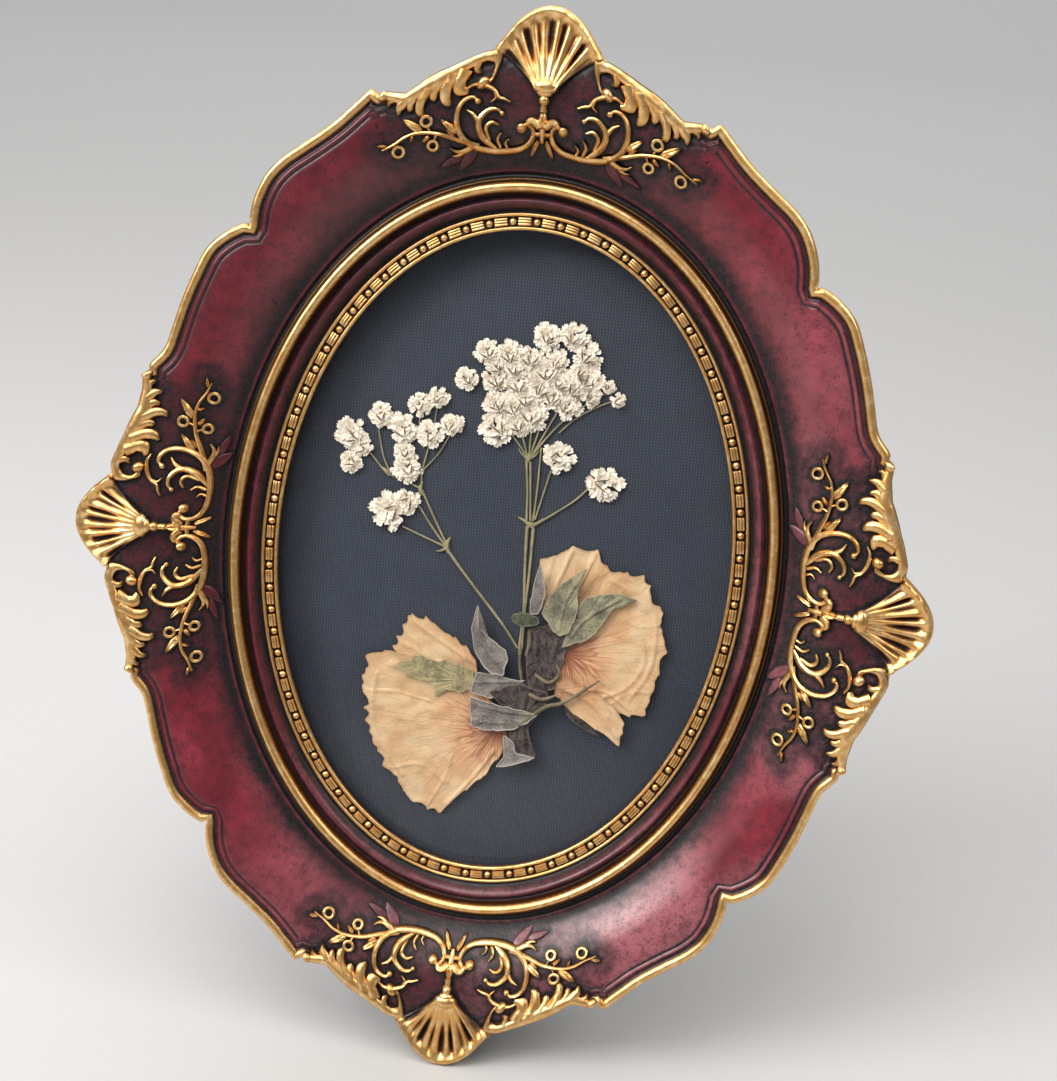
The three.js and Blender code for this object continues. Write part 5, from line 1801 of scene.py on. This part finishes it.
@dataclass
class Sprig:
    """Thin branched stems that end in small double flowers."""

    name: str
    stems: tuple[Stroke, ...]
    florets: tuple[tuple[float, float, float], ...]
    gather: tuple[float, float]  # where the flowers' stalks come from
    replaces: str
    petals: int = 40

    def floret(self, u: float, v: float, radius: float, seed: int, petal: Object) -> list[Object]:
        """Crumpled petals laid round a centre in a ragged ball, pressed flat.

        Args:
            u: Centre of the floret.
            v: Centre of the floret.
            radius: Its radius.
            seed: Seeds its irregularity.
            petal: One petal to copy, one millimetre long.

        Returns:
            The petals.
        """
        chance = np.random.default_rng(seed)
        x, y, z = points_of(petal).T
        copies = []
        for i in range(self.petals):
            share = (i + 0.5) / self.petals
            length = radius * (0.62 - 0.2 * share) * chance.uniform(0.85, 1.15)
            width = length * chance.uniform(0.6, 0.95)
            turn = i * GOLDEN_ANGLE + chance.uniform(-0.3, 0.3)
            heading = turn + chance.uniform(-0.7, 0.7)
            tilt = 0.1 + 0.8 * share + chance.uniform(-0.1, 0.15)
            start = radius * (0.6 * math.sqrt(1 - share) - 0.12 + chance.uniform(-0.04, 0.06))
            along, across = x * length * math.cos(tilt * 0.8), y * width
            wave = 0.16 * np.sin(y * 12 + chance.uniform(0, 6)) * x
            wave += 0.1 * np.sin(x * 8 + chance.uniform(0, 6))
            rise = (z + wave) * length * 0.6 + x * length * tilt * 0.5
            plan = np.column_stack([
                u + start * math.cos(turn) + along * math.cos(heading) - across * math.sin(heading),
                v + start * math.sin(turn) + along * math.sin(heading) + across * math.cos(heading),
            ])
            copies.append(copy_of(petal))
            move_points(copies[-1], np.column_stack([plan, STEM_W + share * 1.1 + np.clip(rise, -0.25, 1.5)]))
            set_trait(copies[-1], Trait.WASH, np.clip(0.7 - x * 0.8, 0, 1))
        return copies

    @staticmethod
    def petal_template() -> Object:
        """One small petal: narrow at its claw, notched at its tip, one millimetre long."""
        columns, rows = 4, 6

        def shape(column: Array, row: Array) -> Array:
            """Widens the grid from claw to tip."""
            along, across = column / columns, row / rows - 0.5
            half = 0.18 + 0.95 * np.sin(along * np.pi * 0.62) ** 1.3
            notch = (0.16 * np.exp(-((across / 0.1) ** 2)) + 0.09 * (row % 2)) * along**4
            round_tip = 0.24 * (2 * across) ** 2 * along**2
            return np.column_stack([along - notch - round_tip, across * half, 0.5 * across**2])

        return sheet_mesh(columns, rows, shape)

    def build(self, tissue: Material, stem_finish: Material, streak_finish: Material) -> None:
        """Makes the sprig's stems, flowers and dark calyx streaks.

        Args:
            tissue: The petals' finish.
            stem_finish: The stems' finish.
            streak_finish: The finish of the calyx streaks.
        """
        stems = strokes_mesh(self.stems, 0.8, 1)
        u, v, w = points_of(stems).T
        move_points(stems, np.column_stack([u, v, np.maximum(w, CARD_FRONT_W + 0.02)]))
        Piece(self.name + "_stems", Slot.GYPSOPHILA, stem_finish, replaces=(self.replaces,)).deliver(stems)
        template = self.petal_template()
        petals: list[Object] = []
        streaks: list[Stroke] = []
        for number, (u, v, radius) in enumerate(self.florets, len(self.name) * 7):
            petals += self.floret(u, v, radius, number, template)
            streaks += self.calyx_streaks(np.array([u, v]), radius, number)
        discard(template)
        Piece(self.name + "_petals", Slot.GYPSOPHILA, tissue, smooth_angle=80).deliver(join(petals))
        Piece(self.name + "_calyx_streaks", Slot.GYPSOPHILA, streak_finish).deliver(strokes_mesh(streaks, 0.6, 1))

    def calyx_streaks(self, centre: Array, radius: float, seed: int) -> list[Stroke]:
        """Short dark streaks that fan over a floret from the side of its stalk.

        Args:
            centre: Middle of the floret.
            radius: Its radius.
            seed: Seeds its irregularity.

        Returns:
            The streaks.
        """
        chance = np.random.default_rng(seed + 400)
        away = centre - self.gather
        heading = math.atan2(away[1], away[0])
        base = centre - away / np.hypot(*away) * radius * 0.55
        count = 3 if np.hypot(*(centre - CLUSTER)) < CLUSTER_RADIUS else 2
        made = []
        for spread in np.linspace(-0.25 * count, 0.25 * count, count) + chance.uniform(-0.4, 0.4):
            turn = heading + spread + chance.uniform(-0.15, 0.15)
            direction = np.array([math.cos(turn), math.sin(turn)])
            start = base + direction * radius * chance.uniform(0.05, 0.2)
            end = start + direction * radius * chance.uniform(0.5, 0.8)
            line = ((*start, STREAK_W), (*((start + end) / 2), STREAK_W + 0.3), (*end, STREAK_W))
            made.append(Stroke(line, (0.12, 0.26, 0.08)))
        return made


def stem(points: Line, *radii: float) -> Stroke:
    """A stem that lies on the card."""
    return Stroke(tuple((u, v, STEM_W) for u, v in points), tuple(radius * STEM_THINNING for radius in radii))


RIGHT_SPRIG = Sprig(
    "gypsophila_right",
    stems=(
        stem(((8.4, -31), (7, -24), (7, -14), (6, -2), (5.3, 9)), 0.4, 0.42, 0.45, 0.42, 0.5),
        stem(((7.6, -24), (7.3, -14), (7.3, -2), (7, 9)), 0.4, 0.42, 0.42, 0.5),
        stem(((5, 10.5), (4.4, 18), (3.2, 26.5)), 0.36, 0.32, 0.4),
        stem(((6, 10.5), (5.2, 18), (4.3, 26)), 0.34, 0.3, 0.35),
        stem(((6.7, 10.5), (6.9, 19), (6.7, 30)), 0.34, 0.3, 0.25),
        stem(((7.2, 11), (8.6, 18), (9.9, 24.4)), 0.28, 0.26, 0.24),
        stem(((7.4, 9.6), (13, 14), (17, 17.4), (20, 20.8)), 0.36, 0.3, 0.28, 0.26),
        stem(((3.5, 27), (-1, 32), (-5, 35)), 0.32, 0.26, 0.2),
        stem(((3.5, 27), (0, 36), (-4, 44)), 0.3, 0.25, 0.2),
        stem(((3.8, 27), (3.4, 36), (2, 46)), 0.3, 0.25, 0.2),
        stem(((4, 27), (6, 38), (5.6, 52)), 0.3, 0.25, 0.2),
        stem(((4.3, 27), (8.6, 37), (12.4, 45)), 0.3, 0.25, 0.2),
        stem(((4.2, 27), (8, 33), (12.6, 38.6), (19, 44), (22.6, 46.4)), 0.3, 0.26, 0.24, 0.2, 0.16),
        stem(((10.8, 34.3), (15, 38.8), (20.8, 42.7), (24.8, 44.6)), 0.24, 0.22, 0.2, 0.16),
        stem(((6, 9.4), (4.4, 10.4), (2.6, 11.2)), 0.6, 0.4, 0.12),
        stem(((6.6, 9.4), (8, 10.2), (9.3, 11.6)), 0.6, 0.4, 0.12),
        stem(((5.4, 8.2), (6.2, 9.8), (7.2, 8.2)), 0.3, 1.0, 0.3),
        stem(((3.4, 25.6), (3.8, 27.2), (4.4, 28.2)), 0.4, 0.95, 0.4),
        stem(((3.2, 27), (1.6, 28), (0.8, 29.2)), 0.5, 0.35, 0.12),
        stem(((4.2, 27), (5.6, 28), (6.2, 29.4)), 0.5, 0.35, 0.12),
    ),
    florets=(
        (-14.5, 45.4, 3.3), (-10, 53, 3.6), (-4, 53, 4), (1.5, 52.4, 3.5), (5.2, 58.6, 3.9), (12, 59.4, 4),
        (15.7, 54.8, 4), (8, 52.6, 3.3), (-7, 46, 4.1), (-1, 46, 4.6), (4.4, 45.6, 4.5), (9.6, 47.6, 4),
        (13.6, 46.4, 4), (17, 49, 4.3), (3.2, 38.4, 4.9), (-5.6, 33.6, 4.9), (12.6, 41.4, 3.7), (18, 44.6, 3),
        (-1.8, 39.6, 4), (22.2, 47.6, 1.9), (25, 44.6, 2.1), (11.5, 28.2, 4.4), (24, 22.6, 5), (6.5, 49.6, 4.2),
        (-2.6, 49.6, 3.8), (1.4, 42.2, 4.2), (8.6, 43.6, 4), (14.8, 50.6, 3.6), (-6.2, 40, 3.8), (0, 35.4, 3.6),
        (-6.6, 50, 3.2),
    ),
    gather=(4, 27),
    replaces="gypsophila_sprig_right",
)
LEFT_SPRIG = Sprig(
    "gypsophila_left",
    stems=(
        stem(((6.5, -24), (2, -18.4), (-5, -11), (-11, -4.6), (-15.5, 0.5)), 0.4, 0.42, 0.42, 0.4, 0.5),
        stem(((-15.5, 0.6), (-21, 2.4), (-27.6, 4.6)), 0.34, 0.28, 0.24),
        stem(((-15.6, 0.8), (-19.6, 5.4), (-23.7, 10.6)), 0.34, 0.3, 0.24),
        stem(((-15.2, 1), (-19, 7.4), (-23.4, 15)), 0.36, 0.32, 0.36),
        stem(((-23.6, 15), (-23.8, 20), (-23, 25), (-22.6, 29)), 0.3, 0.26, 0.24, 0.2),
        stem(((-23.6, 15.2), (-28, 16.8), (-33, 18.3), (-37, 22), (-40.6, 25.6)), 0.32, 0.28, 0.28, 0.24, 0.2),
        stem(((-32, 18), (-34.6, 23), (-36.4, 29.6)), 0.26, 0.22, 0.2),
        stem(((-23.8, 20), (-20, 25), (-17.6, 30)), 0.24, 0.2, 0.18),
        stem(((-24, 19), (-27, 25), (-29.6, 29)), 0.24, 0.2, 0.18),
        stem(((-24, 26), (-25.6, 31), (-25.8, 35)), 0.2, 0.18, 0.16),
        stem(((-22.8, 27), (-21.8, 33), (-21.6, 37)), 0.2, 0.18, 0.16),
        stem(((-14.6, -0.8), (-15.4, 1.2), (-14.6, 3.4)), 0.5, 0.85, 0.2),
        stem(((-15.4, 0.4), (-16.8, -0.6), (-18, -0.7)), 0.5, 0.35, 0.12),
        stem(((-23, 13.6), (-23.9, 15.2), (-23.4, 17.2)), 0.35, 0.7, 0.2),
        stem(((-32.4, 17.6), (-33.4, 18.8), (-34.4, 19.6)), 0.3, 0.6, 0.2),
    ),
    florets=(
        (-43.5, 27.6, 4.6), (-43, 20.2, 3.3), (-36.3, 33.4, 3.6), (-29.8, 30.6, 4.4), (-26, 37.2, 3.3),
        (-21.5, 39.8, 2.9), (-17, 33.2, 3.3), (-22.5, 30, 4), (-27.8, 20.4, 4.4), (-31.5, 8.6, 5.4), (-27, 11.4, 3.6),
        (-29, 24.6, 3), (-40.4, 24.6, 3),
    ),
    gather=(-23.6, 15),
    replaces="gypsophila_sprig_left",
)


# ---- studio ----
@dataclass(frozen=True)
class Lamp:
    """A soft rectangular light panel that looks at a point."""

    name: str
    place: tuple[float, float, float]
    size: tuple[float, float]
    watts: float
    tint: Colour
    target: tuple[float, float, float] = (0, 0, 0.13)

    def hang(self) -> None:
        """Adds the light."""
        data = bpy.data.lights.new(self.name, "AREA")
        data.shape = "RECTANGLE"
        data.size, data.size_y = self.size
        data.energy, data.color = self.watts, self.tint
        obj = bpy.data.objects.new(self.name, data)
        bpy.context.collection.objects.link(obj)
        obj.location = self.place
        obj.rotation_euler = (Vector(self.target) - Vector(self.place)).to_track_quat("-Z", "Y").to_euler()


@dataclass
class Studio:
    """A pale floor, soft lights and the camera."""

    camera_place: tuple[float, float, float] = (0.0404, -0.3294, 0.2887)
    camera_forward: tuple[float, float, float] = (-0.0933, 0.8965, -0.4331)
    camera_up: tuple[float, float, float] = (-0.1303, 0.4203, 0.8980)
    lens: float = 46.62
    floor_front: float = -6.0
    floor_back: float = 2.4  # where the floor starts to sweep up
    sweep_radius: float = 1.0
    lamps: tuple[Lamp, ...] = (
        Lamp("key", (-0.75, -0.42, 0.75), (0.4, 0.4), 9.6, (1.0, 0.98, 0.95)),
        Lamp("window", (-0.3, -0.75, 0.85), (0.7, 0.34), 2.6, (1.0, 0.99, 0.97)),
        Lamp("overhead", (-0.08, -0.16, 0.64), (0.36, 0.36), 2.2, (1.0, 0.98, 0.96)),
        Lamp("side", (0.7, -0.1, 0.75), (0.36, 0.36), 2.2, (1.0, 0.97, 0.93)),
        Lamp("far", (0, 1.7, 2.4), (6.0, 3.4), 120.0, (0.98, 0.99, 1.0), (0, 1.71, 0)),
    )
    air: Colour = (0.86, 0.87, 0.9)
    air_strength: float = 0.25

    def camera(self) -> None:
        """Sets the camera."""
        data = bpy.data.cameras.new("camera")
        data.lens, data.sensor_width, data.sensor_fit = self.lens, 36.0, "AUTO"
        data.clip_start, data.clip_end = 0.01, 50
        obj = bpy.data.objects.new("camera", data)
        bpy.context.collection.objects.link(obj)
        back = -Vector(self.camera_forward).normalized()
        right = Vector(self.camera_up).cross(back).normalized()
        turn = Matrix((right, back.cross(right), back)).transposed().to_4x4()
        obj.matrix_world = Matrix.Translation(self.camera_place) @ turn
        bpy.context.scene.camera = obj

    def floor(self) -> None:
        """Lays the floor, which sweeps up far behind the frame."""
        cells = 24

        def shape(column: Array, row: Array) -> Array:
            """Runs the sweep from front to back."""
            turn = np.clip((row - 1) / (cells - 2), 0, 1) * np.pi / 2
            y = np.where(row == 0, self.floor_front, self.floor_back + self.sweep_radius * np.sin(turn))
            z = np.where(row == cells, 4.0, self.sweep_radius * (1 - np.cos(turn)))
            return np.column_stack([column * 14.0 - 7.0, y, z])

        obj = sheet_mesh(1, cells, shape)
        obj.name = "floor"
        select_only(obj)
        bpy.ops.object.shade_smooth()
        obj.data.materials.append(PaleFloor().build())

    def build(self) -> None:
        """Sets up the floor, the lights and the camera."""
        self.camera()
        self.floor()
        for lamp in self.lamps:
            lamp.hang()
        world = bpy.data.worlds.new("studio")
        world.use_nodes = True
        air = world.node_tree.nodes["Background"].inputs
        air["Color"].default_value = (*self.air, 1)
        air["Strength"].default_value = self.air_strength
        bpy.context.scene.world = world
        bpy.context.scene.view_settings.view_transform = "Standard"
        bpy.context.scene.view_settings.look = "None"
        LOG.info("studio ready")


def dress_node(name: str, finish: Material) -> None:
    """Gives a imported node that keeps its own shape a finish."""
    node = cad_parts[name]
    node.data.materials.clear()
    node.data.materials.append(finish)
    LOG.info("%s: packed node, %s", name, finish.name)


def main() -> None:
    """Builds the object and the studio."""
    logging.basicConfig(level=logging.INFO, format="%(message)s")
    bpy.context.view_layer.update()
    Studio().build()
    lacquer = AntiquedLacquer().build()
    carving = Ornament().build(lacquer)
    Casting().build(lacquer, carving)
    Beading().build(lacquer)
    dress_node("glass", PaneGlass().build())
    dress_node("background_card", LinenCard().build())
    Back().build(Flock().build(), BrassedSteel().build())
    green = PressedLeaf("pressed_leaf", (0.1, 0.095, 0.065), (0.3, 0.27, 0.165), (0.42, 0.36, 0.25), 0.55)
    bleached = PressedLeaf("bleached_leaf", (0.15, 0.135, 0.065), (0.38, 0.31, 0.16), (0.52, 0.42, 0.26), 0.4)
    grey = PressedLeaf("grey_leaf", (0.11, 0.095, 0.085), (0.25, 0.215, 0.19), (0.5, 0.44, 0.38), 0.7, 0.8)
    calyx = PressedLeaf("dried_calyx", (0.018, 0.013, 0.016), (0.08, 0.06, 0.055), (0.22, 0.16, 0.12), 0.5, 2.2)
    dark = PressedLeaf("dark_leaf", (0.03, 0.035, 0.018), (0.1, 0.105, 0.06), (0.17, 0.17, 0.11), 0.5)
    finishes = {
        Slot.PETAL: PressedPetal().build(),
        Slot.LEAF: green.build(),
        Slot.GREY_LEAF: grey.build(),
        Slot.CALYX: calyx.build(),
    }
    stem_finish = DriedStem().build()
    tissue = DriedTissue().build()
    streak_finish = DriedStem("calyx_streak", (0.11, 0.088, 0.05), (0.22, 0.17, 0.11)).build()
    Roses().build(finishes, {"bleached": bleached.build(), "dark": dark.build()}, streak_finish)
    for sprig in (RIGHT_SPRIG, LEFT_SPRIG):
        sprig.build(tissue, stem_finish, streak_finish)


if __name__ == "__main__":
    main()
